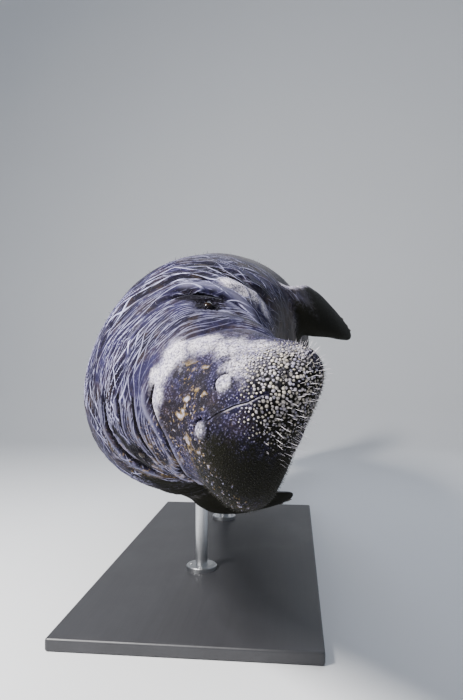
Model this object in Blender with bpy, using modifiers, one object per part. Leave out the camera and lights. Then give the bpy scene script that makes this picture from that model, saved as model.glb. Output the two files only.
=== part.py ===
"""A life-size manatee, banked on its right side on a display stand, as closed solids in metres.

The body is one loft along a bent spine. Its sections come from a profile of named places, and
skin folds and lip pads are raised in it by smooth waves. Thin cuts across the spine part it.
In the body's own axes +X is its left, +Y runs to the tail and +Z is its back.
"""

import math

import bmesh
import bpy
import numpy as np
from mathutils import Matrix, Vector

# Driving dimensions of the animal
BODY_LENGTH = 2.70
GAP = 0.0003

# Pose: the body is banked about its long axis, and the head bends down and to its right
BANK = math.radians(66.5)
HEAD_PITCH = math.radians(21.0)
HEAD_YAW = math.radians(-3.3)
NECK_FRONT = 0.26
NECK_BACK = 0.66
TAIL_PITCH = math.radians(-9)
TAIL_BEND_FRONT = 1.55
TAIL_BEND_BACK = 2.35
AXIS_HEIGHT = 0.62
BALANCE_STATION = 1.17
SPINE_SAMPLES = 1081
WELD = 0.00001
ROUND_SIDES = 16
GROOVE_SIDES = 6
SHARP_ANGLE = math.radians(35)

# Colours
SKIN_COLOUR = (0.150, 0.140, 0.165)
EYE_COLOUR = (0.012, 0.010, 0.010)
BASE_COLOUR = (0.055, 0.055, 0.060)
STEEL_COLOUR = (0.56, 0.57, 0.58)

# Profile of the body: place along the spine, half width, top, bottom and height of the widest
# part over the spine, and how full the section is, from 2 for an ellipse upwards
PROFILE = (
    (0.000, 0.000, -0.052, -0.052, -0.052, 2.1),  # front of the muzzle
    (0.006, 0.060, -0.018, -0.090, -0.060, 2.1),
    (0.022, 0.102, 0.008, -0.115, -0.068, 2.1),
    (0.050, 0.126, 0.029, -0.128, -0.068, 2.0),  # nostrils and lip pads
    (0.090, 0.132, 0.047, -0.132, -0.060, 2.0),
    (0.140, 0.129, 0.070, -0.137, -0.040, 2.0),
    (0.200, 0.142, 0.100, -0.149, -0.020, 2.1),
    (0.280, 0.164, 0.135, -0.168, -0.010, 2.1),  # just behind the eyes
    (0.380, 0.206, 0.170, -0.181, -0.005, 2.1),  # neck
    (0.520, 0.254, 0.207, -0.204, 0.000, 2.1),
    (0.700, 0.300, 0.245, -0.232, 0.000, 2.1),  # shoulders
    (0.950, 0.343, 0.278, -0.260, -0.005, 2.1),
    (1.200, 0.360, 0.291, -0.272, -0.010, 2.1),  # greatest girth
    (1.450, 0.340, 0.276, -0.253, -0.010, 2.1),
    (1.700, 0.283, 0.235, -0.207, -0.005, 2.1),
    (1.900, 0.215, 0.182, -0.157, 0.000, 2.0),
    (2.050, 0.163, 0.130, -0.114, 0.000, 2.0),  # tail stock
    (2.160, 0.168, 0.087, -0.079, 0.000, 2.0),
    (2.270, 0.222, 0.057, -0.053, 0.000, 2.0),
    (2.380, 0.268, 0.039, -0.037, 0.000, 2.0),
    (2.490, 0.284, 0.027, -0.026, 0.000, 2.0),  # broadest part of the paddle
    (2.590, 0.254, 0.019, -0.018, 0.000, 2.0),
    (2.660, 0.178, 0.013, -0.012, 0.000, 2.0),
    (BODY_LENGTH, 0.000, 0.000, 0.000, 0.000, 2.0),
)
# The muzzle and head are narrower above than below
CROWN_NARROWING = 0.20
CROWN_FADE = (0.10, 0.34)

# Soft forms raised on both sides: place along the spine, angle from the back in degrees,
# spread along, spread around in radians, height
LOBES = (
    (0.058, 128, 0.040, 0.45, 0.018),  # lip pads
    (0.100, 178, 0.022, 0.60, 0.010),  # lower lip
    (0.195, 125, 0.045, 0.45, 0.008),  # cheeks
    (0.140, 0, 0.020, 1.20, 0.007),  # roll behind the nostrils
    (0.240, 50, 0.035, 0.30, 0.006),  # brows
    (0.028, 180, 0.030, 0.16, -0.009),  # cleft of the upper lip
    (0.034, 0, 0.030, 0.20, -0.003),  # furrow between the nostrils
    (0.640, 122, 0.110, 0.34, 0.018),  # shoulders
)

# Neck folds: place along the spine, depth and half width of each crease, and its lean
CREASES = (
    (0.172, 0.006, 0.010, 0.006),
    (0.240, 0.004, 0.011, 0.010),
    (0.312, 0.012, 0.014, 0.014),
    (0.375, 0.008, 0.013, 0.022),
    (0.500, 0.010, 0.015, 0.030),
    (0.595, 0.005, 0.015, 0.030),
)

# Nodes of the body: name, front and back cut, rings along and points around
BODY_NODES = (
    ("head", 0.00, 0.338, 32, 60),
    ("neck", 0.338, 0.540, 17, 52),
    ("chest", 0.540, 0.920, 12, 48),
    ("belly", 0.920, 1.380, 8, 44),
    ("rump", 1.380, 1.860, 8, 44),
    ("tail_stock", 1.860, 2.170, 7, 40),
    ("tail_paddle", 2.170, BODY_LENGTH, 15, 40),
)

# Nostrils: side, place and angle of each round valve, with a crescent slit behind it
NOSTRILS = ((1, 0.039, math.radians(20)), (-1, 0.044, math.radians(24)))
VALVE_RADIUS = 0.0145
VALVE_RISE = 0.0055
SLIT_RADIUS = 0.0160
SLIT_SPAN = math.radians(170)
SLIT_THICKNESS = 0.0030
SLIT_POINTS = 11

# Mouth: a groove round the lower jaw, from corner to corner
MOUTH_FRONT = 0.074
MOUTH_REACH = 0.072
MOUTH_SPAN = math.radians(66)
MOUTH_THICKNESS = 0.0042
MOUTH_SUNK = 0.001
MOUTH_CURVE = 2.2
MOUTH_POINTS = 23

# Eyes, and the ring of lid round each
EYE_STATION = 0.258
EYE_ANGLE = math.radians(70)
EYE_RADIUS = 0.0100
EYE_SUNK = 0.0085
LID_RADIUS = 0.0098
LID_THICKNESS = 0.0034
LID_FLATNESS = 0.75

# Flippers: side, root on the chest, way to the tip and to the leading edge, each as parts
# to the midline, to the tail and to the belly, and how far the root reaches inside
FLIPPERS = (
    ("flipper_left", 1, 0.670, math.radians(130), (-0.032, 0.245, 0.141), (0.39, 0.22, 0.68)),
    ("flipper_right", -1, 0.665, math.radians(124), (0.042, 0.160, 0.205), (0.75, -0.48, 0.51)),
)
FLIPPER_SUNK = 0.055
FLIPPER_BOW = 0.055
FORE_SWELL = 0.25
# Share of the flipper's length, half its breadth, half its thickness and lead of its middle
FLIPPER_FORM = (
    (0.00, 0.062, 0.044, 0.000),
    (0.18, 0.062, 0.038, 0.000),
    (0.35, 0.064, 0.029, 0.000),
    (0.52, 0.070, 0.022, -0.003),
    (0.70, 0.070, 0.017, -0.001),
    (0.84, 0.061, 0.013, 0.004),
    (0.94, 0.042, 0.010, 0.009),
    (1.00, 0.000, 0.000, 0.012),
)
FLIPPER_RINGS = 20
FLIPPER_AROUND = 20
NAIL_PLACES = ((0.945, -0.45), (0.962, 0.05), (0.945, 0.52))
NAIL_SIZE = (0.009, 0.007, 0.0035)
NAIL_SIDES = 12

# Stand
BASE_SIZE = (0.62, 1.30, 0.030)
BASE_BEVEL = 0.006
ROD_RADIUS = 0.018
ROD_X = -0.030
RODS = (("front", -0.17, "belly"), ("rear", 0.40, "rump"))
FLANGE_RADIUS = 0.045
FLANGE_HEIGHT = 0.012
FLANGE_BEVEL = 0.002
ROD_SIDES = 32


def smooth_step(low, high, value):
    """0 before low, 1 after high, and an even turn between them."""
    share = np.clip((np.asarray(value, float) - low) / (high - low), 0, 1)
    return share * share * (3 - 2 * share)


def fair_curve(places, heights, at):
    """A curve through the given heights that doesn't overshoot between them."""
    places = np.asarray(places, float)
    heights = np.asarray(heights, float)
    steps = np.diff(places)
    slopes = np.diff(heights) / steps
    tangents = np.zeros(len(places))
    same_way = slopes[:-1] * slopes[1:] > 0
    mean = 2 * slopes[:-1] * slopes[1:] / np.where(same_way, slopes[:-1] + slopes[1:], 1)
    tangents[1:-1] = np.where(same_way, mean, 0)
    tangents[0] = slopes[0]
    tangents[-1] = slopes[-1]
    index = np.clip(np.searchsorted(places, at, side="right") - 1, 0, len(steps) - 1)
    step = steps[index]
    t = (at - places[index]) / step
    return (
        heights[index] * (1 + 2 * t) * (1 - t) ** 2
        + tangents[index] * step * t * (1 - t) ** 2
        + heights[index + 1] * t * t * (3 - 2 * t)
        + tangents[index + 1] * step * t * t * (t - 1)
    )


def spread(stations):
    """Stations on a scale that opens up both round ends of the body."""
    share = np.clip(np.asarray(stations, float) / BODY_LENGTH, 0, 1)
    return np.arccos(1 - 2 * share)


def unspread(scale):
    return BODY_LENGTH * (1 - np.cos(scale)) / 2


def profile_at(stations):
    """Half width, top, bottom, height of the widest part and fullness at each station."""
    rows = np.array(PROFILE)
    scale = spread(rows[:, 0])
    return [fair_curve(scale, column, spread(stations)) for column in rows[:, 1:].T]


def spine_axes(stations):
    """Unit vectors to the tail, to the left and to the back at each station."""
    stations = np.asarray(stations, float)
    bend = 1 - smooth_step(NECK_FRONT, NECK_BACK, stations)
    pitch = HEAD_PITCH * bend + TAIL_PITCH * smooth_step(TAIL_BEND_FRONT, TAIL_BEND_BACK, stations)
    yaw = HEAD_YAW * bend
    aft = np.stack([np.sin(yaw) * np.cos(pitch), np.cos(yaw) * np.cos(pitch), np.sin(pitch)], -1)
    back = np.stack([-np.sin(yaw) * np.sin(pitch), -np.cos(yaw) * np.sin(pitch), np.cos(pitch)], -1)
    return aft, np.cross(aft, back), back


def spine_points(stations):
    """Points of the spine, with the balance station at the origin."""
    samples = np.linspace(0, BODY_LENGTH, SPINE_SAMPLES)
    aft = spine_axes(samples)[0]
    steps = (aft[1:] + aft[:-1]) / 2 * (samples[1] - samples[0])
    path = np.vstack([np.zeros(3), np.cumsum(steps, 0)])
    path -= [np.interp(BALANCE_STATION, samples, column) for column in path.T]
    return np.stack([np.interp(stations, samples, column) for column in path.T], -1)


def raised(stations, angles):
    """How far lobes stand out of the plain section, less the depth of the neck folds."""
    height = np.zeros(np.broadcast(stations, angles).shape)
    for place, degrees, along, around, rise in LOBES:
        for side in (1, -1) if degrees % 180 else (1,):
            turn = (angles - side * math.radians(degrees) + math.pi) % (2 * math.pi) - math.pi
            height += rise * np.exp(-(((stations - place) / along) ** 2) - (turn / around) ** 2)
    for place, depth, half_width, lean in CREASES:
        offset = stations - place + lean * (1 - np.cos(angles)) / 2 - lean / 2
        deeper = 0.65 - 0.35 * np.cos(2 * angles + 0.5)
        height -= depth * deeper * np.exp(-((offset / half_width) ** 2))
    return height


def skin(stations, angles, lift=0.0):
    """Points of the skin in the body's axes. Angles run from the back over the left side."""
    stations, angles = np.broadcast_arrays(np.asarray(stations, float), np.asarray(angles, float))
    width, top, bottom, level, fullness = profile_at(stations)
    sine, cosine = np.sin(angles), np.cos(angles)
    depth = np.where(cosine > 0, top - level, level - bottom)
    across = width * np.sign(sine) * np.abs(sine) ** (2 / fullness)
    rise = depth * np.sign(cosine) * np.abs(cosine) ** (2 / fullness)
    crown = CROWN_NARROWING * (1 - smooth_step(*CROWN_FADE, stations))
    across = across * (1 - crown * smooth_step(-0.3, 1, cosine))
    out_x = sine * np.maximum(depth, 1e-6)
    out_z = cosine * np.maximum(width, 1e-6)
    out_size = np.hypot(out_x, out_z)
    out = raised(stations, angles) * smooth_step(0, 0.02, width) + lift
    across = across + out * out_x / out_size
    rise = level + rise + out * out_z / out_size
    _, left, back = spine_axes(stations)
    return spine_points(stations) + left * across[..., None] + back * rise[..., None]


def to_world(points):
    """The body's axes laid in the stand's frame: banked, and lifted to its height."""
    points = np.asarray(points, float)
    turned = np.array(Matrix.Rotation(-BANK, 3, "Y"))
    return points @ turned.T + [0, 0, AXIS_HEIGHT]


def skin_frame(station, angle):
    """A point of the skin in the world, with unit vectors aft along it, across it and outwards."""
    small = 1e-4
    width = float(profile_at(np.array([station]))[0][0])
    stations = station + small * np.array([0, 1, -1, 0, 0])
    angles = angle + small / width * np.array([0, 0, 0, 1, -1])
    places = to_world(skin(stations, angles))
    along = Vector(places[1] - places[2])
    around = Vector(places[3] - places[4])
    out = around.cross(along).normalized()
    aft = (along - out * along.dot(out)).normalized()
    return Vector(places[0]), aft, aft.cross(out), out


def body_place(towards):
    """A direction given as left, aft and back parts, turned into the world's axes."""
    return Matrix.Rotation(-BANK, 3, "Y") @ Vector(towards)


def closed_object(name, rings, home):
    """A closed mesh through rings of points, with a flat cap or a single point at each end."""
    shell = bmesh.new()
    rows = []
    for ring in rings:
        pole = np.ptp(ring, axis=0).max() < 1e-6
        rows.append([shell.verts.new(point) for point in (ring[:1] if pole else ring)])
    for row, after in zip(rows, rows[1:]):
        count = max(len(row), len(after))
        for j in range(count):
            corners = [row[j % len(row)], row[(j + 1) % len(row)]]
            corners += [after[(j + 1) % len(after)], after[j % len(after)]]
            shell.faces.new(list(dict.fromkeys(corners)))
    for row in (rows[0], rows[-1]):
        if len(row) > 1:
            shell.faces.new(row)
    bmesh.ops.triangulate(shell, faces=[face for face in shell.faces if len(face.verts) == 4])
    bmesh.ops.recalc_face_normals(shell, faces=shell.faces)
    return object_from(shell, name, home)


def object_from(shell, name, home):
    """An object that holds the bmesh, shaded smooth apart from its sharp edges."""
    mesh = bpy.data.meshes.new(name)
    shell.to_mesh(mesh)
    shell.free()
    mesh.shade_smooth()
    mesh.set_sharp_from_angle(angle=SHARP_ANGLE)
    made = bpy.data.objects.new(name, mesh)
    home.objects.link(made)
    return made


def body_piece(name, front, back, ring_count, around, home, lift=0.0):
    """A length of the body between two cuts across the spine, grown outwards by the lift."""
    low = spread(front + GAP / 2 if front > 0 else 0.0)
    high = spread(back - GAP / 2 if back < BODY_LENGTH else BODY_LENGTH)
    stations = unspread(np.linspace(low, high, ring_count))[:, None]
    angles = np.linspace(0, 2 * math.pi, around, endpoint=False)[None, :]
    return closed_object(name, to_world(skin(stations, angles, lift)), home)


def combined(body, operation, pieces):
    """Joins the pieces to the body or cuts them out of it, and removes them."""
    group = bpy.data.collections.new("pieces")
    bpy.context.scene.collection.children.link(group)
    for piece in pieces:
        group.objects.link(piece)
    change = body.modifiers.new("combined", "BOOLEAN")
    change.operation = operation
    change.operand_type = "COLLECTION"
    change.collection = group
    change.solver = "EXACT"
    graph = bpy.context.evaluated_depsgraph_get()
    mesh = bpy.data.meshes.new_from_object(body.evaluated_get(graph))
    body.modifiers.clear()
    body.data = mesh
    for piece in pieces:
        bpy.data.objects.remove(piece)
    bpy.data.collections.remove(group)
    keep_largest(body)


def keep_largest(body):
    """Keeps the largest closed surface of a mesh and welds points that coincide."""
    shell = bmesh.new()
    shell.from_mesh(body.data)
    bmesh.ops.remove_doubles(shell, verts=shell.verts, dist=WELD)
    bmesh.ops.dissolve_degenerate(shell, edges=shell.edges, dist=WELD)
    left = set(shell.faces)
    surfaces = []
    while left:
        surface = {left.pop()}
        fresh = list(surface)
        while fresh:
            face = fresh.pop()
            near = {other for edge in face.edges for other in edge.link_faces} & left
            left -= near
            surface |= near
            fresh += near
        surfaces.append(surface)
    largest = max(surfaces, key=len)
    spare = [face for face in shell.faces if face not in largest]
    bmesh.ops.delete(shell, geom=spare, context="FACES")
    bmesh.ops.triangulate(shell, faces=[face for face in shell.faces if len(face.verts) > 3])
    shell.to_mesh(body.data)
    shell.free()
    body.data.shade_smooth()
    body.data.set_sharp_from_angle(angle=SHARP_ANGLE)


def basis(place, first, second, third):
    """The matrix that lays the X, Y and Z axes along three unit vectors at a place."""
    turn = Matrix((first, second, third)).transposed().to_4x4()
    return Matrix.Translation(place) @ turn


def ellipsoid(name, matrix, size, sides, home):
    """A ball squashed to the three half sizes and laid by the matrix."""
    shell = bmesh.new()
    bmesh.ops.create_uvsphere(shell, u_segments=sides, v_segments=sides * 2 // 3, radius=1)
    bmesh.ops.transform(shell, matrix=matrix @ Matrix.Diagonal((*size, 1)), verts=shell.verts)
    return object_from(shell, name, home)


def ball(name, centre, radius, home):
    return ellipsoid(name, Matrix.Translation(centre), (radius,) * 3, ROUND_SIDES, home)


def tube(name, centres, radii, sides, home):
    """A closed round tube through the centres, with its own radius at each."""
    centres = [Vector(centre) for centre in centres]
    rings = []
    for index, (centre, radius) in enumerate(zip(centres, radii)):
        along = centres[min(index + 1, len(centres) - 1)] - centres[max(index - 1, 0)]
        across = along.orthogonal() if index == 0 else across - across.project(along)
        across.normalize()
        other = along.normalized().cross(across)
        turns = [2 * math.pi * step / sides for step in range(sides)]
        around = [math.cos(turn) * across + math.sin(turn) * other for turn in turns]
        rings.append([centre + float(radius) * way for way in around])
    return closed_object(name, np.array(rings), home)


def nostril_pieces(side, station, angle, home):
    """The valve of one nostril, and the cutter of its crescent slit."""
    place, aft, across, out = skin_frame(station, side * angle)
    matrix = basis(place, aft, across, out)
    valve = ellipsoid("valve", matrix, (VALVE_RADIUS, VALVE_RADIUS, VALVE_RISE), ROUND_SIDES, home)
    turns = np.linspace(-SLIT_SPAN / 2, SLIT_SPAN / 2, SLIT_POINTS)
    centres = [
        matrix @ Vector((SLIT_RADIUS * math.cos(turn), SLIT_RADIUS * math.sin(turn), 0.0005))
        for turn in turns
    ]
    radii = SLIT_THICKNESS * (0.35 + 0.65 * np.cos(turns / SLIT_SPAN * math.pi) ** 0.7)
    return valve, tube("slit", centres, radii, GROOVE_SIDES, home)


def mouth_cutter(home):
    """The groove of the closed mouth, deepest in front and fine at its corners."""
    centres = []
    shares = np.linspace(-1, 1, MOUTH_POINTS)
    for share in shares:
        station = MOUTH_FRONT + MOUTH_REACH * abs(share) ** MOUTH_CURVE
        place, _, _, out = skin_frame(station, math.pi + MOUTH_SPAN * share)
        centres.append(place - out * MOUTH_SUNK)
    radii = MOUTH_THICKNESS * (1 - 0.75 * np.abs(shares) ** 3)
    return tube("mouth", centres, radii, GROOVE_SIDES, home)


def eye_frame(side):
    """Where an eye's centre lies in the head, with the matrix of its lids on the skin."""
    place, aft, across, out = skin_frame(EYE_STATION, side * EYE_ANGLE)
    return place - out * EYE_SUNK, basis(place, aft, across, out)


def lid_ring(side, home):
    """The round lid of one eye, a flattened ring that stands out of the skin."""
    _, matrix = eye_frame(side)
    flat = Matrix.Diagonal((1, 1, LID_FLATNESS, 1))
    bpy.ops.mesh.primitive_torus_add(
        major_radius=LID_RADIUS,
        minor_radius=LID_THICKNESS,
        major_segments=ROUND_SIDES + 4,
        minor_segments=GROOVE_SIDES,
    )
    ring = bpy.context.object
    ring.data.transform(matrix @ flat)
    for owner in ring.users_collection:
        owner.objects.unlink(ring)
    home.objects.link(ring)
    return ring


def make_head(head, home, cutters):
    """Fuses valves and lids to the head, and cuts its slits, mouth and eye sockets."""
    fused = []
    cut = [mouth_cutter(cutters)]
    for side, station, angle in NOSTRILS:
        valve, slit = nostril_pieces(side, station, angle, cutters)
        fused += [valve, lid_ring(side, cutters)]
        centre, _ = eye_frame(side)
        cut += [slit, ball("socket", centre, EYE_RADIUS + GAP, cutters)]
    combined(head, "UNION", fused)
    combined(head, "DIFFERENCE", cut)
    for name, side in (("eye_left", 1), ("eye_right", -1)):
        centre, _ = eye_frame(side)
        ball(name, centre, EYE_RADIUS, home)


def flipper_path(side, station, angle, reach, shares):
    """Points along the middle of a flipper: out of the chest, then bent to its tip."""
    root, _, _, out = skin_frame(station, side * angle)
    medial, aft, ventral = reach
    tip = root + body_place((-side * medial, aft, -ventral))
    start = root - out * FLIPPER_SUNK
    turn = root + out * FLIPPER_BOW
    shares = np.asarray(shares, float)[:, None]
    first, middle, last = (np.array(point) for point in (start, turn, tip))
    return (1 - shares) ** 2 * first + 2 * shares * (1 - shares) * middle + shares**2 * last


def flipper_point(flipper, share, turn):
    """A point of a flipper's skin, and the way out of it. Turn 0 is its leading edge."""
    _, side, station, angle, reach, leading = flipper
    places = flipper_path(side, station, angle, reach, [share - 1e-3, share, share + 1e-3])
    along = Vector(places[2] - places[0]).normalized()
    medial, aft, ventral = leading
    lead = body_place((-side * medial, aft, -ventral))
    lead = (lead - lead.project(along)).normalized()
    outer = side * lead.cross(along)
    rows = np.array(FLIPPER_FORM)
    breadth, thickness, shift = (
        float(fair_curve(np.arccos(1 - rows[:, 0]), column, np.arccos(1 - np.array([share])))[0])
        for column in rows[:, 1:].T
    )
    fore = math.cos(turn)
    swell = 1 + FORE_SWELL * fore
    offset = lead * (shift + breadth * fore) + outer * (thickness * swell * math.sin(turn))
    return Vector(places[1]) + offset, outer, along, lead


def make_flipper(flipper, home, cutters):
    """One flipper with its nails, cut to meet the skin of the chest."""
    rings = []
    for share in np.sin(np.linspace(0, math.pi / 2, FLIPPER_RINGS)):
        turns = np.linspace(0, 2 * math.pi, FLIPPER_AROUND, endpoint=False)
        rings.append([flipper_point(flipper, share, turn)[0] for turn in turns])
    made = closed_object(flipper[0], np.array(rings), home)
    nails = []
    for share, fore in NAIL_PLACES:
        place, outer, along, lead = flipper_point(flipper, share, math.acos(fore))
        nails.append(ellipsoid("nail", basis(place, along, lead, outer), NAIL_SIZE, NAIL_SIDES, cutters))
    combined(made, "UNION", nails)
    chest = next(row for row in BODY_NODES if row[0] == "chest")
    combined(made, "DIFFERENCE", [body_piece(*chest, cutters, lift=GAP)])
    return made


def make_stand(home, cutters):
    """The flat base, with two rods up to the body and a flange round the foot of each."""
    shell = bmesh.new()
    bmesh.ops.create_cube(shell, size=1)
    centre = Matrix.Translation((0, 0, BASE_SIZE[2] / 2))
    bmesh.ops.transform(shell, matrix=centre @ Matrix.Diagonal((*BASE_SIZE, 1)), verts=shell.verts)
    base = object_from(shell, "stand_base", home)
    edge = base.modifiers.new("edge", "BEVEL")
    edge.width = BASE_BEVEL
    edge.segments = 3
    foot = BASE_SIZE[2] + GAP
    for name, y, node in RODS:
        top = AXIS_HEIGHT
        shell = bmesh.new()
        middle = Matrix.Translation((ROD_X, y, (foot + top) / 2))
        bmesh.ops.create_cone(
            shell, cap_ends=True, segments=ROD_SIDES, radius1=ROD_RADIUS, radius2=ROD_RADIUS,
            depth=top - foot, matrix=middle,
        )
        rod = object_from(shell, "stand_rod_" + name, home)
        row = next(row for row in BODY_NODES if row[0] == node)
        combined(rod, "DIFFERENCE", [body_piece(*row, cutters, lift=GAP)])
        make_flange("stand_flange_" + name, y, foot, home)


def make_flange(name, y, foot, home):
    """A flat collar turned round the foot of a rod."""
    inner = ROD_RADIUS + GAP
    profile = (
        (FLANGE_RADIUS - FLANGE_BEVEL, FLANGE_HEIGHT),
        (FLANGE_RADIUS, FLANGE_HEIGHT - FLANGE_BEVEL),
        (FLANGE_RADIUS, 0),
        (inner, 0),
        (inner, FLANGE_HEIGHT),
    )
    shell = bmesh.new()
    corners = [shell.verts.new((x, 0, z)) for x, z in profile]
    for index, corner in enumerate(corners):
        shell.edges.new((corner, corners[(index + 1) % len(corners)]))
    flange = object_from(shell, name, home)
    flange.location = (ROD_X, y, foot)
    turned = flange.modifiers.new("turned", "SCREW")
    turned.steps = ROD_SIDES
    turned.render_steps = ROD_SIDES
    turned.use_merge_vertices = True
    turned.merge_threshold = WELD


def painted(obj, name, colour, roughness, metallic=0.0):
    """Gives an object its own material."""
    material = bpy.data.materials.new(name)
    material.use_nodes = True
    shader = material.node_tree.nodes["Principled BSDF"]
    shader.inputs["Base Color"].default_value = (*colour, 1)
    shader.inputs["Roughness"].default_value = roughness
    shader.inputs["Metallic"].default_value = metallic
    obj.data.materials.clear()
    obj.data.materials.append(material)


def main():
    for obj in list(bpy.data.objects):
        bpy.data.objects.remove(obj)
    home = bpy.data.collections.new("manatee")
    cutters = bpy.data.collections.new("cutters")
    for group in (home, cutters):
        bpy.context.scene.collection.children.link(group)
    for row in BODY_NODES:
        piece = body_piece(*row, home)
        if row[0] == "head":
            make_head(piece, home, cutters)
    for flipper in FLIPPERS:
        make_flipper(flipper, home, cutters)
    make_stand(home, cutters)
    for obj in home.objects:
        if obj.name.startswith("eye"):
            painted(obj, obj.name, EYE_COLOUR, 0.08)
        elif obj.name == "stand_base":
            painted(obj, obj.name, BASE_COLOUR, 0.55)
        elif obj.name.startswith("stand"):
            painted(obj, obj.name, STEEL_COLOUR, 0.30, metallic=1.0)
        else:
            painted(obj, obj.name, SKIN_COLOUR, 0.60)


if __name__ == "__main__":
    main()
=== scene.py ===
"""The looks of a life-size manatee model on its display stand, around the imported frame.

The file is laid out as an add-on: each operator makes one piece or a group of like pieces, and
main() calls them in order. The body's shape is worked out from the same named sizes as the
frame's solids. Angles round the body run from its back over its left side to its belly.
"""

import itertools
import math

import bmesh
import bpy
import numpy as np
from bpy.props import FloatProperty, FloatVectorProperty, IntProperty, PointerProperty
from mathutils import Matrix, Vector
from mathutils.kdtree import KDTree


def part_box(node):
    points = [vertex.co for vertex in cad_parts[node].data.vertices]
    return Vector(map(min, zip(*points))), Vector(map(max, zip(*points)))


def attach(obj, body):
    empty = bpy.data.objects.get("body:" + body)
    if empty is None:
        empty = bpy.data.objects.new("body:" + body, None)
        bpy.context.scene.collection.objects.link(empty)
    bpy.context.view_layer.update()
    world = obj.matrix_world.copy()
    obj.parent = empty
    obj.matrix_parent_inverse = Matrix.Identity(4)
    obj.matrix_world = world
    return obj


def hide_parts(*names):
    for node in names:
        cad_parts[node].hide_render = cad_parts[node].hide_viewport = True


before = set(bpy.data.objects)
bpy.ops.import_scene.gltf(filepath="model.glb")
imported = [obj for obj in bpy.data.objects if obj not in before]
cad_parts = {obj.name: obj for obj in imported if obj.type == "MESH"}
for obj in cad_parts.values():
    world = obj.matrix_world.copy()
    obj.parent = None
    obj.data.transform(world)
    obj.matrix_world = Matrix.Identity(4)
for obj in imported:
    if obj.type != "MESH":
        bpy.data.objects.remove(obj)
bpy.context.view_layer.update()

bl_info = {
    "name": "Manatee model",
    "version": (1, 0, 0),
    "blender": (4, 5, 0),
    "location": "3D View > Sidebar > Manatee",
    "description": "Skin, bristles, eyes, nails and stand of a life-size manatee model",
    "category": "Add Mesh",
}

# The frame's body: the same named sizes as its solids have
BODY_LENGTH = 2.70
BANK = math.radians(66.5)
HEAD_PITCH = math.radians(21.0)
HEAD_YAW = math.radians(-3.3)
NECK_FRONT = 0.26
NECK_BACK = 0.66
TAIL_PITCH = math.radians(-9)
TAIL_BEND_FRONT = 1.55
TAIL_BEND_BACK = 2.35
AXIS_HEIGHT = 0.62
BALANCE_STATION = 1.17
SPINE_SAMPLES = 1081

# Place along the spine, half width, top, bottom, height of the widest part, fullness
PROFILE = (
    (0.000, 0.000, -0.052, -0.052, -0.052, 2.1),
    (0.006, 0.060, -0.018, -0.090, -0.060, 2.1),
    (0.022, 0.102, 0.008, -0.115, -0.068, 2.1),
    (0.050, 0.126, 0.029, -0.128, -0.068, 2.0),
    (0.090, 0.132, 0.047, -0.132, -0.060, 2.0),
    (0.140, 0.129, 0.070, -0.137, -0.040, 2.0),
    (0.200, 0.142, 0.100, -0.149, -0.020, 2.1),
    (0.280, 0.164, 0.135, -0.168, -0.010, 2.1),
    (0.380, 0.206, 0.170, -0.181, -0.005, 2.1),
    (0.520, 0.254, 0.207, -0.204, 0.000, 2.1),
    (0.700, 0.300, 0.245, -0.232, 0.000, 2.1),
    (0.950, 0.343, 0.278, -0.260, -0.005, 2.1),
    (1.200, 0.360, 0.291, -0.272, -0.010, 2.1),
    (1.450, 0.340, 0.276, -0.253, -0.010, 2.1),
    (1.700, 0.283, 0.235, -0.207, -0.005, 2.1),
    (1.900, 0.215, 0.182, -0.157, 0.000, 2.0),
    (2.050, 0.163, 0.130, -0.114, 0.000, 2.0),
    (2.160, 0.168, 0.087, -0.079, 0.000, 2.0),
    (2.270, 0.222, 0.057, -0.053, 0.000, 2.0),
    (2.380, 0.268, 0.039, -0.037, 0.000, 2.0),
    (2.490, 0.284, 0.027, -0.026, 0.000, 2.0),
    (2.590, 0.254, 0.019, -0.018, 0.000, 2.0),
    (2.660, 0.178, 0.013, -0.012, 0.000, 2.0),
    (BODY_LENGTH, 0.000, 0.000, 0.000, 0.000, 2.0),
)
CROWN_NARROWING = 0.20
CROWN_FADE = (0.10, 0.34)

# Soft forms, each on both sides: place, angle in degrees, spread along, spread around, height.
# Those at 0 and 180 degrees lie on the middle of the back and belly, once each.
LOBES = (
    (0.058, 128, 0.040, 0.45, 0.018),
    (0.100, 178, 0.022, 0.60, 0.010),
    (0.195, 125, 0.045, 0.45, 0.008),
    (0.140, 0, 0.020, 1.20, 0.007),
    (0.240, 50, 0.035, 0.30, 0.006),
    (0.028, 180, 0.030, 0.16, -0.009),
    (0.034, 0, 0.030, 0.20, -0.003),
    (0.640, 122, 0.110, 0.34, 0.018),
)
# Neck folds right round the body: place, depth, half width and lean
CREASES = (
    (0.172, 0.006, 0.010, 0.006),
    (0.240, 0.004, 0.011, 0.010),
    (0.312, 0.012, 0.014, 0.014),
    (0.375, 0.008, 0.013, 0.022),
    (0.500, 0.010, 0.015, 0.030),
    (0.595, 0.005, 0.015, 0.030),
)

# Nostrils: side, place and angle of each valve, with the sizes of valve and slit
NOSTRILS = ((1, 0.039, math.radians(20)), (-1, 0.044, math.radians(24)))
VALVE_RADIUS = 0.0145
VALVE_RISE = 0.0055
SLIT_RADIUS = 0.0160
SLIT_SPAN = math.radians(170)
SLIT_WIDTH = 0.0014
SLIT_DEPTH = 0.0085
# Round the slit, a soft rim and furrow: their height, and the half width of each
NOSTRIL_SWELL = 0.0018
NOSTRIL_RIM = 0.0065
NOSTRIL_FURROW = 0.0045

# Mouth: a groove round the lower jaw, from corner to corner
MOUTH_FRONT = 0.074
MOUTH_REACH = 0.072
MOUTH_SPAN = math.radians(66)
# The groove's half width and depth; how far beside it the lips lie, their half width and rise
MOUTH_GROOVE = (0.0030, 0.0075)
MOUTH_LIPS = (0.0085, 0.0055, 0.0022)

# Eyes
EYE_STATION = 0.258
EYE_ANGLE = math.radians(70)
EYE_RADIUS = 0.0100
EYE_SUNK = 0.0085
# The hollow round the eye, as radius and depth, and the pit, as its radius above and below and depth
EYE_BOWL = (0.021, 0.0045)
EYE_PIT = (0.0072, 0.0048, 0.0120)
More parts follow.
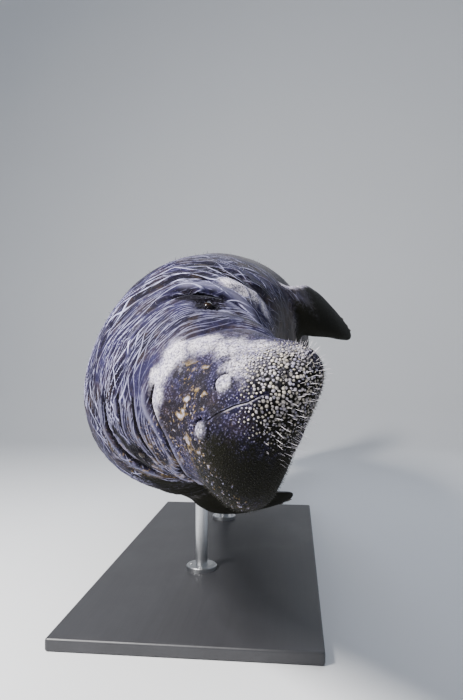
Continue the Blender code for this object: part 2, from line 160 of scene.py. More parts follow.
# The lid's ring: radius, half width and rise
EYE_LID = (0.0092, 0.0022, 0.0030)
# Fine rings of folds round it, as spacing, reach and height, and folds that lead away from it
LID_RINGS = (0.0058, 0.028, 0.0008)
LID_RAYS = (0.020, 0.010, 0.0010)
# The eyeball, as a share of EYE_RADIUS, and the swelling of the clear front
EYE_SHARE = 0.97
EYE_SIDES = 40
IRIS_SWELL = 0.035
IRIS_SPREAD = 0.5
PUPIL_COLOUR = (0.004, 0.003, 0.003)
EYE_RIM_COLOUR = (0.012, 0.008, 0.008)

# Flippers: name, side, place and angle of the root, and the ways to the tip and to the leading
# edge, each as parts to the midline, to the tail and to the belly
FLIPPERS = (
    ("flipper_left", 1, 0.670, math.radians(130), (-0.032, 0.245, 0.141), (0.39, 0.22, 0.68)),
    ("flipper_right", -1, 0.665, math.radians(124), (0.042, 0.160, 0.205), (0.75, -0.48, 0.51)),
)
FLIPPER_SUNK = 0.055
FLIPPER_BOW = 0.055
FLIPPER_FULLNESS = 0.25
# Share of the length, half breadth, half thickness, and shift towards the leading edge
FLIPPER_FORM = (
    (0.00, 0.062, 0.044, 0.000),
    (0.18, 0.062, 0.038, 0.000),
    (0.35, 0.064, 0.029, 0.000),
    (0.52, 0.070, 0.022, -0.003),
    (0.70, 0.070, 0.017, -0.001),
    (0.84, 0.061, 0.013, 0.004),
    (0.94, 0.042, 0.010, 0.009),
    (1.00, 0.000, 0.000, 0.012),
)
# Nails: share of the flipper's length, and place across it from -1 to 1
NAIL_PLACES = ((0.945, -0.45), (0.962, 0.05), (0.945, 0.52))
NAIL_SIZE = (0.0065, 0.0048, 0.0018)
NAIL_LIFT = 0.0006
NAIL_SIDES = 24

# How the skin's mesh is laid out: a ring of points every so many metres, from each place on
RING_STEPS = ((0.0, 0.0030), (0.17, 0.0028), (0.24, 0.0026), (0.50, 0.0029), (0.62, 0.0042),
              (0.80, 0.0080), (1.0, 0.014), (1.5, 0.022), (2.1, 0.014), (BODY_LENGTH, 0.009))
FRONT_AROUND = 256
FRONT_END = 0.600
BODY_AROUND = 128
MUZZLE_END = 0.200
POLE_AROUND = 8
POLE_STEP = 0.0032
FLIPPER_RINGS = 64
FLIPPER_AROUND = 40
SKIN_SUNK = 0.0006

# Wrinkles are closer on the face and neck than further back: places along the spine, and how
# far each lies along a scale on which they are evenly spaced
WRINKLE_PLACES = (0.0, 0.35, 0.62, BODY_LENGTH)
WRINKLE_TRAVEL = (0.0, 0.35, 0.51, 1.60)
# Nets of wrinkles that run round the body, two coarse and one fine: the spacing of their lines,
# the length and breadth of their bends, lean and seed
NETS = (
    (0.0145, 0.040, 0.070, 0.26, 11),
    (0.0165, 0.044, 0.075, -0.26, 14),
    (0.0056, 0.040, 0.080, 0.05, 17),
)
NET_DRIFT = 0.9
LINE_CELLS = (0.050, 0.014, 0.050)
CREST_WIDTH = 0.0030
CREST_RISE = 0.0026
CREST_MEAN = 0.0008
# Broad swellings under the wrinkles, and how much the wrinkled skin sinks
SWELL_RISE = 0.0022
WRINKLE_SINK = 0.0010

# Folds drawn on the skin, each a path of (place along the spine, angle in degrees), with the
# depth of its groove, the groove's half width, and the height of the soft lip on either side
FACE_FOLDS = (
    # the slanting crease across the muzzle
    (((0.006, 58), (0.008, 24), (0.018, 3), (0.026, -4), (0.034, -12), (0.040, -16)),
     0.0011, 0.0010, 0.0),
    # the deep crease behind the right of the muzzle
    (((0.176, 2), (0.173, -21), (0.157, -36), (0.146, -50), (0.150, -66), (0.199, -101),
      (0.235, -125)), 0.0090, 0.0075, 0.0035),
    # the groove behind the left eye, that runs on down to the throat
    (((0.322, 40), (0.317, 59), (0.314, 79), (0.306, 92), (0.284, 103), (0.268, 114),
      (0.262, 128), (0.264, 142)), 0.0120, 0.0130, 0.0045),
    # folds behind the left cheek
    (((0.352, 62), (0.356, 80), (0.350, 100), (0.332, 118)), 0.0050, 0.0050, 0.0020),
    # folds behind the right eye
    (((0.318, -20), (0.330, -48), (0.325, -75), (0.318, -105)), 0.0070, 0.0060, 0.0030),
    (((0.222, -18), (0.214, -40), (0.212, -62), (0.226, -90)), 0.0040, 0.0045, 0.0020),
    (((0.268, -20), (0.262, -38), (0.268, -58)), 0.0045, 0.0045, 0.0020),
)
# Broad soft rolls: path, rise and half width
ROLLS = (
    (((0.168, -14), (0.175, 4), (0.170, 20), (0.150, 36), (0.112, 50), (0.074, 60)), 0.0060, 0.0150),
    (((0.378, 78), (0.390, 92), (0.404, 106), (0.424, 122)), 0.0110, 0.0200),
)
# The painted highlight along the lower rim of the muzzle's crease: how far beside it, and its half
# width
CREASE_HIGHLIGHT = (0.0014, 0.0006)

# Where the skin's markings and its painted light and shade lie, as round spots: place, angle in
# degrees, radius
# Pale spots: painted light on the lit top and left of the face and on the neck roll, partly over paler
# skin
LIT_PALE_SPOTS = (
    (0.166, 25, 0.030), (0.136, 42, 0.034), (0.100, 52, 0.034), (0.070, 60, 0.034),
    (0.144, 17, 0.026), (0.168, -2, 0.024), (0.045, 41, 0.036), (0.028, 68, 0.040),
    (0.030, 88, 0.030), (0.040, 20, 0.018), (0.388, 90, 0.027), (0.398, 99, 0.030),
    (0.408, 108, 0.034), (0.420, 117, 0.034), (0.150, 8, 0.028), (0.156, -14, 0.026),
    (0.150, -30, 0.016), (0.046, -25, 0.014),
)
ALGAE_SPOTS = (
    (0.112, 10, 0.028), (0.090, 16, 0.022), (0.083, -18, 0.032), (0.063, 2, 0.022),
    (0.066, -7, 0.025), (0.029, -7, 0.020), (0.110, -28, 0.034), (0.060, -40, 0.034),
)
# Shade spots: painted shade over the low muzzle and along the underside of the neck and chest
PAINTED_SHADE_SPOTS = (
    (0.022, -52, 0.045), (0.017, -75, 0.060), (0.010, -104, 0.065), (0.045, -75, 0.055),
    (0.006, 172, 0.060), (0.030, -150, 0.085), (0.030, 150, 0.050), (0.070, -110, 0.070),
    (0.400, -104, 0.055), (0.470, -109, 0.060), (0.560, -115, 0.075), (0.670, -120, 0.090),
    (0.560, -135, 0.110), (0.720, -138, 0.120), (0.660, -132, 0.090),
)
EARTH_SPOTS = (
    (0.115, -45, 0.050), (0.170, -60, 0.060), (0.260, -75, 0.070), (0.340, -80, 0.080),
    (0.220, -95, 0.060), (0.090, -60, 0.040), (0.066, -7, 0.030), (0.060, -30, 0.030),
    (0.058, -62, 0.032), (0.042, -52, 0.026), (0.062, -84, 0.034), (0.040, -74, 0.028),
    (0.044, -98, 0.030),
)
# Painted shade over the dark hollow round each eye
EYE_SHADES = ((0.280, 68, 0.021), (0.292, 58, 0.020), (0.288, 79, 0.018), (0.304, 50, 0.015))
# Where the papillae, the longest bristles and the bristles of the lip lie, and how far they reach
PAPILLA_STATION = 0.008
PAPILLA_ANGLE = math.radians(95)
PAPILLA_REACH = (0.112, 0.028)
STUBBLE_END = (0.150, 0.100)
LONG_STATION = 0.011
LONG_ANGLE = math.radians(174)
RIM_STATION = 0.024
RIM_ANGLE = math.radians(127)
# How the flippers' roots are rounded
ROOT_SOFTNESS = 0.018
ROOT_ROUNDS = 60

# The small forms that are scattered over the skin, as rings of radius and height
PAPILLA_SIDES = 8
PAPILLA_FORM = (
    (0.0038, -0.0016), (0.0037, 0.0002), (0.0029, 0.0013), (0.0016, 0.0019), (0.0, 0.0021),
)
HAIR_SIDES = 3
BRISTLE_FORM = ((0.00030, -0.0020), (0.00027, 0.0030), (0.00019, 0.0066), (0.0, 0.0095))
BRISTLE_BEND = 12.0
STUBBLE_FORM = ((0.00027, -0.0010), (0.00022, 0.0018), (0.0, 0.0042))
STUBBLE_BEND = 30.0
HAIR_FORM = ((0.00026, -0.0010), (0.00022, 0.0040), (0.0, 0.0090))
HAIR_BEND = 30.0
# The papillae's two tip colours, paler at the tops as painted light
PAPILLA_TIP = (0.82, 0.73, 0.58)
PAPILLA_VIOLET = (0.44, 0.41, 0.60)
BRISTLE_TIP = (0.86, 0.82, 0.72)
STUBBLE_TIP = (0.34, 0.30, 0.18)
# Screws of the stand's flanges: rings of radius and height, and the slot across the head
SCREW_SIDES = 16
SCREW_FORM = ((0.0046, -0.001), (0.0046, 0.0004), (0.0040, 0.0017), (0.0024, 0.0023))
SLOT_SIZE = (0.012, 0.0011, 0.0022)

FLESH_NODES = (
    "head", "neck", "chest", "belly", "rump", "tail_stock", "tail_paddle",
    "flipper_left", "flipper_right",
)

# What the points of the skin carry for its colours, painted light and shade among them, and what the
# coat keeps
COLOUR_MASKS = ("wrinkle", "crest", "hollow", "rim", "pale", "algae", "dusk", "earth", "papilla")
KEPT_VALUES = ("tip", "shade", "tone", "OFBake", "material_index")
PALETTE_NAMES = (
    "dark", "middle", "hide", "crest", "pale", "stipple", "brown", "algae", "ochre", "dusk", "hollow",
)

# The photograph's view
PHOTO_HEIGHT = 700
FOCAL_PIXELS = 596
SENSOR = 36.0
CAMERA_PLACE = (0.245, -1.936, 0.649)
CAMERA_YAW = math.radians(-6)
CAMERA_PITCH = math.radians(0.98)

# The studio: a main light, one from behind for the outline, and light from all round
KEY_PLACE = (-1.35, -1.75, 2.30)
KEY_SIZE = 0.6
KEY_COLOUR = (1.0, 0.98, 0.96)
RIM_PLACE = (0.3, 0.9, 2.6)
RIM_SIZE = 1.6
RIM_POWER = 32
RIM_COLOUR = (0.82, 0.88, 1.0)
LIGHT_TARGET = (0.08, -0.85, 0.62)
FILL_COLOUR = (0.80, 0.87, 1.0, 1)


def smooth_step(low, high, value):
    """0 before low, 1 after high, and an even turn between them."""
    share = np.clip((np.asarray(value, float) - low) / (high - low), 0, 1)
    return share * share * (3 - 2 * share)


def bell(offset, width):
    """1 where the offset is 0, falling away evenly on both sides."""
    return np.exp(-((offset / width) ** 2))


def fair_curve(places, heights, at):
    """A curve through the given heights that doesn't overshoot between them."""
    places = np.asarray(places, float)
    heights = np.asarray(heights, float)
    steps = np.diff(places)
    slopes = np.diff(heights) / steps
    tangents = np.zeros(len(places))
    same_way = slopes[:-1] * slopes[1:] > 0
    mean = 2 * slopes[:-1] * slopes[1:] / np.where(same_way, slopes[:-1] + slopes[1:], 1)
    tangents[1:-1] = np.where(same_way, mean, 0)
    tangents[0] = slopes[0]
    tangents[-1] = slopes[-1]
    index = np.clip(np.searchsorted(places, at, side="right") - 1, 0, len(steps) - 1)
    step = steps[index]
    t = (at - places[index]) / step
    return (
        heights[index] * (1 + 2 * t) * (1 - t) ** 2
        + tangents[index] * step * t * (1 - t) ** 2
        + heights[index + 1] * t * t * (3 - 2 * t)
        + tangents[index + 1] * step * t * t * (t - 1)
    )


def spread(stations):
    """Stations on a scale that opens up both round ends of the body."""
    share = np.clip(np.asarray(stations, float) / BODY_LENGTH, 0, 1)
    return np.arccos(1 - 2 * share)


def profile_at(stations):
    """Half width, top, bottom, height of the widest part and fullness at each station."""
    rows = np.array(PROFILE)
    scale = spread(rows[:, 0])
    return [fair_curve(scale, column, spread(stations)) for column in rows[:, 1:].T]


def spine_axes(stations):
    """Unit vectors to the tail, to the left and to the back at each station."""
    stations = np.asarray(stations, float)
    bend = 1 - smooth_step(NECK_FRONT, NECK_BACK, stations)
    pitch = HEAD_PITCH * bend + TAIL_PITCH * smooth_step(TAIL_BEND_FRONT, TAIL_BEND_BACK, stations)
    yaw = HEAD_YAW * bend
    aft = np.stack([np.sin(yaw) * np.cos(pitch), np.cos(yaw) * np.cos(pitch), np.sin(pitch)], -1)
    back = np.stack([-np.sin(yaw) * np.sin(pitch), -np.cos(yaw) * np.sin(pitch), np.cos(pitch)], -1)
    return aft, np.cross(aft, back), back


def spine_points(stations):
    """Points of the spine, with the balance station at the origin."""
    samples = np.linspace(0, BODY_LENGTH, SPINE_SAMPLES)
    aft = spine_axes(samples)[0]
    steps = (aft[1:] + aft[:-1]) / 2 * (samples[1] - samples[0])
    path = np.vstack([np.zeros(3), np.cumsum(steps, 0)])
    path -= [np.interp(BALANCE_STATION, samples, column) for column in path.T]
    return np.stack([np.interp(stations, samples, column) for column in path.T], -1)


def raised(stations, angles):
    """How far lobes stand out of the plain section, less the depth of the neck folds."""
    height = np.zeros(np.broadcast(stations, angles).shape)
    for place, degrees, along, around, rise in LOBES:
        for side in (1, -1) if degrees % 180 else (1,):
            turn = (angles - side * math.radians(degrees) + math.pi) % (2 * math.pi) - math.pi
            height += rise * np.exp(-(((stations - place) / along) ** 2) - (turn / around) ** 2)
    for place, depth, half_width, lean in CREASES:
        offset = stations - place + lean * (1 - np.cos(angles)) / 2 - lean / 2
        deeper = 0.65 - 0.35 * np.cos(2 * angles + 0.5)
        height -= depth * deeper * bell(offset, half_width)
    return height


def body_skin(stations, angles):
    """Points of the plain skin in the world."""
    stations, angles = np.broadcast_arrays(np.asarray(stations, float), np.asarray(angles, float))
    width, top, bottom, level, fullness = profile_at(stations)
    sine, cosine = np.sin(angles), np.cos(angles)
    depth = np.where(cosine > 0, top - level, level - bottom)
    across = width * np.sign(sine) * np.abs(sine) ** (2 / fullness)
    rise = depth * np.sign(cosine) * np.abs(cosine) ** (2 / fullness)
    crown = CROWN_NARROWING * (1 - smooth_step(*CROWN_FADE, stations))
    across = across * (1 - crown * smooth_step(-0.3, 1, cosine))
    out_x = sine * np.maximum(depth, 1e-6)
    out_z = cosine * np.maximum(width, 1e-6)
    out_size = np.hypot(out_x, out_z)
    out = raised(stations, angles) * smooth_step(0, 0.02, width)
    across = across + out * out_x / out_size
    rise = level + rise + out * out_z / out_size
    _, left, back = spine_axes(stations)
    points = spine_points(stations) + left * across[..., None] + back * rise[..., None]
    return points @ np.array(Matrix.Rotation(-BANK, 3, "Y")).T + [0, 0, AXIS_HEIGHT]


def skin_frame(station, angle):
    """A point of the plain skin, with unit vectors aft along it, across it and outwards."""
    small = 1e-4
    width = float(profile_at(np.array([station]))[0][0])
    stations = station + small * np.array([0, 1, -1, 0, 0])
    angles = angle + small / width * np.array([0, 0, 0, 1, -1])
    places = body_skin(stations, angles)
    along = Vector(places[1] - places[2])
    around = Vector(places[3] - places[4])
    out = around.cross(along).normalized()
    aft = (along - out * along.dot(out)).normalized()
    return Vector(places[0]), aft, aft.cross(out), out


def body_place(towards):
    """A direction given as left, aft and back parts, turned into the world's axes."""
    return Matrix.Rotation(-BANK, 3, "Y") @ Vector(towards)


def noise(places, seed):
    """Smooth noise between about -1 and 1 at rows of places, with cells 1 across."""
    dice = np.random.default_rng(seed)
    order = np.tile(dice.permutation(256), 2)
    values = dice.uniform(-1, 1, 256)
    whole = np.floor(places).astype(int)
    part = places - whole
    part = part * part * part * (part * (part * 6 - 15) + 10)
    total = np.zeros(places.shape[:-1])
    for corner in itertools.product((0, 1), repeat=3):
        x, y, z = np.moveaxis((whole + corner) & 255, -1, 0)
        weight = np.prod(np.where(corner, part, 1 - part), -1)
        total += weight * values[order[order[order[x] + y] + z]]
    return total


def net_phase(lie, spacing, long_bend, round_bend, lean, seed):
    """How many lines of a net lie in front of each point."""
    drift = NET_DRIFT * noise(lie / (round_bend, long_bend, round_bend), seed)
    return (lie[:, 1] + lean * (lie[:, 0] + lie[:, 2])) / spacing + drift


def nets_at(lie):
    """The phase of each net, how strongly its lines show, and how high the creased skin stands."""
    phases = np.stack([net_phase(lie, *net) for net in NETS], -1)
    forces = np.stack([
        smooth_step(-0.30, 0.15, noise(lie / LINE_CELLS, net[-1] + 40)) for net in NETS
    ], -1)
    spacings = np.array([net[0] for net in NETS[:2]])
    offsets = np.abs(phases[:, :2] - np.round(phases[:, :2])) * spacings
    crests = forces[:, :2] * bell(offsets, CREST_WIDTH)
    return phases, forces, CREST_RISE * crests.max(1) - CREST_MEAN


def path_offset(points, outs, path):
    """How far each point lies from a path drawn on the skin: to its side, and past its ends."""
    rows = np.array(path, float)
    lengths = np.linspace(0, 1, len(rows))
    dense = np.linspace(0, 1, 12 * len(rows))
    stations = fair_curve(lengths, rows[:, 0], dense)
    angles = fair_curve(lengths, np.radians(rows[:, 1]), dense)
    line = body_skin(stations, angles)
    side = np.full(len(points), 9.0)
    share = np.zeros(len(points))
    reach = np.linalg.norm(np.ptp(line, axis=0)) / 2 + 0.06
    near = np.nonzero(np.linalg.norm(points - line.mean(0), axis=1) < reach * 1.3)[0]
    if not len(near):
        return side, share
    starts, ways = line[:-1], np.diff(line, axis=0)
    to_point = points[near][:, None] - starts
    along = np.clip((to_point * ways).sum(-1) / (ways**2).sum(-1), 0, 1)
    miss = to_point - along[..., None] * ways
    distance = np.linalg.norm(miss, axis=-1)
    best = distance.argmin(1)
    rows = np.arange(len(near))
    turned = np.cross(ways[best], miss[rows, best])
    sign = np.sign((turned * outs[near]).sum(-1))
    side[near] = distance[rows, best] * np.where(sign == 0, 1, sign)
    share[near] = (best + along[rows, best]) / len(ways)
    return side, share


def ends_faded(share, fade=0.16):
    """1 along a path, falling to 0 at its two ends."""
    return smooth_step(0, fade, share) * smooth_step(0, fade, 1 - share)


def body_outs(stations, angles):
    """Unit vectors out of the plain skin."""
    small = 2e-4
    low = np.maximum(stations - small, 0)
    along = body_skin(stations + small, angles) - body_skin(low, angles)
    around = body_skin(stations, angles + small * 8) - body_skin(stations, angles - small * 8)
    return unit(np.cross(around, along))


class Relief:
    """The fine forms of the skin at rows of stations and angles, and its markings there, among them
    painted highlight on raised forms and painted shade in folds and pits.
    """

    def __init__(self, stations, angles):
        self.stations = stations
        self.angles = angles
        self.plain = body_skin(stations, angles)
        self.outs = body_outs(stations, angles)
        pole = stations <= 0
        if pole.any():
            self.outs[pole] = self.outs[stations < 0.001].mean(0)
        width = np.maximum(profile_at(stations)[0], 1e-4)
        sine, cosine = np.sin(angles), np.cos(angles)
        travel = np.interp(stations, WRINKLE_PLACES, WRINKLE_TRAVEL)
        self.lie = np.stack([cosine * width, travel, sine * width], -1)
        self.height = np.zeros(len(stations))
        self.crest = np.zeros(len(stations))
        self.hollow = np.zeros(len(stations))
        self.rim = np.zeros(len(stations))
        self.add_wrinkles()
        self.add_folds()
        self.add_nostrils()
        self.add_mouth()
        self.add_eyes()

    def add_wrinkles(self):
        """The nets of wrinkles: none on the muzzle, and weaker below and far back."""
        s = self.stations
        right = smooth_step(0.45, -0.15, np.sin(self.angles))
        behind = smooth_step(0.60, 0.98, s + 0.13 * right)
        strength = smooth_step(0.14, 0.27, s) * (1 - 0.88 * behind)
        belly = smooth_step(0.0, -0.7, np.cos(self.angles))
        strength = strength * (1 - 0.6 * belly)
        patchy = np.clip(0.85 + 0.7 * noise(self.lie / (0.09, 0.05, 0.09), 31), 0.2, 1.4)
        self.nets, self.forces, creased = nets_at(self.lie)
        self.height += strength * patchy * creased
        shown = np.clip(strength * patchy, 0, 1)
        fine = smooth_step(0.105, 0.165, s) * (1 - 0.5 * belly)
        fine *= 1 - 0.4 * smooth_step(0.30, 0.42, s) - 0.45 * behind
        self.forces = self.forces * np.stack([shown, shown, fine], -1)
        swell = noise(self.lie / (0.16, 0.055, 0.16), 41)
        self.height += SWELL_RISE * strength * swell - WRINKLE_SINK * strength
        self.wrinkle = shown

    def add_folds(self):
        """The drawn folds of the face and neck and the broad rolls beside them, with painted shade in
        the grooves and painted highlight on the lips and the rolls.
        """
        for path, depth, half, lip in FACE_FOLDS:
            side, share = path_offset(self.plain, self.outs, path)
            fade = ends_faded(share)
            groove = bell(side, half) * fade
            beside = bell(np.abs(side) - 2.4 * half, 1.3 * half) * fade
            self.height += lip * beside - depth * groove
            self.hollow = np.maximum(self.hollow, groove)
            self.crest = np.maximum(self.crest * (1 - 0.8 * groove), 0.55 * beside)
        # A painted highlight along the lower rim of the muzzle's crease, on its first part
        side, share = path_offset(self.plain, self.outs, FACE_FOLDS[0][0])
        middle, half = CREASE_HIGHLIGHT
        self.rim = bell(side - middle, half) * smooth_step(0, 0.1, share)
        self.rim *= smooth_step(0.56, 0.40, share)
        for path, rise, half in ROLLS:
            side, share = path_offset(self.plain, self.outs, path)
            roll = bell(side, half) * ends_faded(share, 0.3)
            self.height += rise * roll
            self.crest = np.maximum(self.crest, 0.45 * roll)

    def local(self, station, angle, reach):
        """The points near a place of the skin, and how far aft and across from it they lie."""
        place, aft, across, _ = skin_frame(station, angle)
        offset = self.plain - np.array(place)
        near = np.nonzero((offset**2).sum(-1) < reach**2)[0]
        flat = offset[near] @ np.array((aft, across)).T
        return near, flat[:, 0], flat[:, 1]

    def add_nostrils(self):
        """A low round valve in each nostril, with a crescent slit round its upper side."""
        for side, station, angle in NOSTRILS:
            near, aft, across = self.local(station, side * angle, 0.06)
            radius = np.hypot(aft, across)
            dome = np.clip(1 - (radius / (VALVE_RADIUS * 1.18)) ** 4, 0, 1) ** 1.3
            rim = bell(radius - VALVE_RADIUS * 1.75, NOSTRIL_RIM)
            turn = np.arctan2(across, aft)
            within = smooth_step(SLIT_SPAN / 2, SLIT_SPAN / 2 - 0.6, np.abs(turn))
            slit = bell(radius - SLIT_RADIUS, SLIT_WIDTH) * within
            furrow = bell(radius - SLIT_RADIUS, NOSTRIL_FURROW)
            self.height[near] += VALVE_RISE * 0.7 * dome + NOSTRIL_SWELL * rim * within
            self.height[near] -= SLIT_DEPTH * slit + NOSTRIL_SWELL * furrow * (0.35 + 0.65 * within)
            # Painted shade in the slit, and painted highlight over the valve's dome
            self.hollow[near] = np.maximum(self.hollow[near], slit)
            self.crest[near] = np.maximum(self.crest[near] * (1 - dome), 0.55 * dome)

    def add_mouth(self):
        """The closed mouth, a groove round the lower jaw between soft lips."""
        side, share = path_offset(self.plain, self.outs, mouth_path())
        fade = ends_faded(share, 0.10)
        half, depth = MOUTH_GROOVE
        beside, spread_out, rise = MOUTH_LIPS
        groove = bell(side, half) * fade
        lips = bell(np.abs(side) - beside, spread_out) * fade
        self.height += rise * lips - depth * groove
        # Painted shade in the groove
        self.hollow = np.maximum(self.hollow, groove)

    def add_eyes(self):
        """A hollow round each eye, the pit for the eye itself, and rings of fine lid folds."""
        for side in (1, -1):
            near, aft, across = self.local(EYE_STATION, side * EYE_ANGLE, 0.075)
            radius = np.hypot(aft, across)
            turn = np.arctan2(across, aft)
            wide = np.hypot(aft, across * 0.62)
            bowl = bell(wide, EYE_BOWL[0])
            opening = np.hypot(aft * 1.25, across)
            pit = smooth_step(*EYE_PIT[:2], opening)
            lid = bell(opening - EYE_LID[0], EYE_LID[1])
            spacing, reach, height = LID_RINGS
            rings = np.cos(2 * math.pi * radius / spacing) * bell(radius, reach)
            beyond = bell(radius - LID_RAYS[0], LID_RAYS[1])
            rays = np.abs(np.sin(turn * 5.5 + 0.7)) ** 3 * beyond
            self.height[near] -= EYE_BOWL[1] * bowl + EYE_PIT[2] * pit
            self.height[near] += EYE_LID[2] * lid + height * rings * (radius > 0.012)
            self.height[near] -= LID_RAYS[2] * rays
            # Painted shade in the pit, the bowl and the dark patch round each eye, and painted
            # highlight on the lid's ring
            self.hollow[near] = np.maximum(self.hollow[near], np.maximum(pit, 0.75 * bowl))
            self.crest[near] *= 1 - bowl
            self.crest[near] += 0.4 * lid
            shades = [(station, side * degrees, size) for station, degrees, size in EYE_SHADES]
            self.hollow = np.maximum(self.hollow, spots(self.plain, shades))

    def points(self):
        """The finished skin: the plain one, moved in or out by the height."""
        return self.plain + self.outs * (self.height - SKIN_SUNK)[:, None]


def ring_stations():
    """Stations of the skin's rings, a set distance apart along the surface."""
    scale = np.linspace(0, math.pi, 24001)
    samples = BODY_LENGTH * (1 - np.cos(scale)) / 2
    width = profile_at(samples)[0]
    travel = np.hypot(np.diff(samples), np.diff(width))
    places, steps = np.array(RING_STEPS).T
    count = np.concatenate([[0], np.cumsum(travel / np.interp(samples[1:], places, steps))])
    whole = np.arange(round(count[-1]) + 1) * count[-1] / round(count[-1])
    return np.interp(whole, count, samples)


def stitched(rows):
    """Faces between neighbouring rings, where one may have a whole number of times the other."""
    faces = []
    for row, after in zip(rows, rows[1:]):
        many = max(len(row), len(after))
        for j in range(many):
            ways = ((row, j), (row, j + 1), (after, j + 1), (after, j))
            corners = [ring[at * len(ring) // many % len(ring)] for ring, at in ways]
            faces.append(tuple(dict.fromkeys(corners)))
    return faces


def body_grid():
    """A closed mesh of the body with each point's station and the cosine and sine of its angle."""
    stations = ring_stations()
    width = profile_at(stations)[0]
    counts = 2 ** np.round(np.log2(np.maximum(2 * math.pi * width / POLE_STEP, POLE_AROUND)))
    most = np.where(stations < FRONT_END, FRONT_AROUND, BODY_AROUND)
    counts = np.minimum(counts, most).astype(int)
    counts[[0, -1]] = 1
    rows = np.split(np.arange(counts.sum()), np.cumsum(counts)[:-1])
    angles = np.concatenate([np.arange(count) * 2 * math.pi / count for count in counts])
    mesh = bpy.data.meshes.new("manatee_skin")
    places = np.repeat(stations, counts)
    mesh.from_pydata(body_skin(places, angles), [], stitched(rows))
    write_values(mesh, "station", places)
    write_values(mesh, "cosine", np.cos(angles))
    write_values(mesh, "sine", np.sin(angles))
    return mesh


def write_values(mesh, name, values):
    """Keeps one number or one vector for each point of a mesh, under a name."""
    values = np.asarray(values, np.float32)
    kind, field = ("FLOAT", "value") if values.ndim == 1 else ("FLOAT_VECTOR", "vector")
    layer = mesh.attributes.get(name) or mesh.attributes.new(name, kind, "POINT")
    layer.data.foreach_set(field, values.ravel())


def read_values(mesh, name, wide=1):
    """The numbers or vectors that a mesh keeps under a name."""
    values = np.empty(len(mesh.vertices) * wide, np.float32)
    mesh.attributes[name].data.foreach_get("value" if wide == 1 else "vector", values)
    return values.astype(float) if wide == 1 else values.reshape(-1, wide).astype(float)


def mesh_points(mesh):
    """The places of a mesh's points."""
    points = np.empty(len(mesh.vertices) * 3, np.float32)
    mesh.vertices.foreach_get("co", points)
    return points.reshape(-1, 3).astype(float)


def refined(mesh, near):
    """Halves the edges of the faces whose points are all near, as told by a mask of the points."""
    shell = bmesh.new()
    shell.from_mesh(mesh)
    edges = set()
    for face in shell.faces:
        if all(near[vert.index] for vert in face.verts):
            edges.update(face.edges)
    bmesh.ops.subdivide_edges(shell, edges=list(edges), cuts=1, use_grid_fill=True)
    shell.to_mesh(mesh)
    shell.free()


def grid_places(mesh):
    """The stations and angles that the points of the body's mesh were made at."""
    angles = np.arctan2(read_values(mesh, "sine"), read_values(mesh, "cosine"))
    return read_values(mesh, "station"), angles


def near_details(mesh, level):
    """Which points lie by the eyes, nostrils, mouth and face folds, closer in at each level."""
    stations, angles = grid_places(mesh)
    points = body_skin(stations, angles)
    outs = body_outs(stations, angles)
    near = np.zeros(len(points), bool)
    for side, station, angle in NOSTRILS:
        offset = distance_from(points, station, side * angle)
        near |= offset < 0.026 if level == 0 else np.abs(offset - SLIT_RADIUS) < 0.0045
    for side in (1, -1):
        near |= distance_from(points, EYE_STATION, side * EYE_ANGLE) < (0.030, 0.014)[level]
    near |= np.abs(path_offset(points, outs, FACE_FOLDS[0][0])[0]) < (0.006, 0.003)[level]
    if level == 0:
        near |= np.abs(path_offset(points, outs, mouth_path())[0]) < 0.009
    return near


def mouth_path():
    """Places along the closed mouth, from corner to corner."""
    shares = np.linspace(-1, 1, 13)
    stations = MOUTH_FRONT + MOUTH_REACH * np.abs(shares) ** 2.2
    return np.stack([stations, 180 + np.degrees(MOUTH_SPAN) * shares], -1)


def unit(vectors):
    """Vectors made 1 long."""
    return vectors / np.maximum(np.linalg.norm(vectors, axis=-1), 1e-12)[..., None]


def flipper_form(flipper, shares):
    """A flipper at each share of its length: its path, unit vectors along it, to its leading edge
    and out of its face, and its half breadth, half thickness and shift."""
    _, side, station, angle, reach, leading = flipper
    root, _, _, out = (np.array(vector) for vector in skin_frame(station, side * angle))
    tip, lead = (
        np.array(body_place((-side * medial, aft, -ventral)))
        for medial, aft, ventral in (reach, leading)
    )
    first, middle, last = root - out * FLIPPER_SUNK, root + out * FLIPPER_BOW, root + tip
    t = shares[:, None]
    path = (1 - t) ** 2 * first + 2 * t * (1 - t) * middle + t**2 * last
    along = unit(2 * (1 - t) * (middle - first) + 2 * t * (last - middle))
    lead = unit(lead - (along @ lead)[:, None] * along)
    rows = np.array(FLIPPER_FORM)
    scale = np.arccos(1 - rows[:, 0])
    sizes = [fair_curve(scale, column, np.arccos(1 - shares)) for column in rows[:, 1:].T]
    return path, along, lead, side * np.cross(lead, along), *sizes


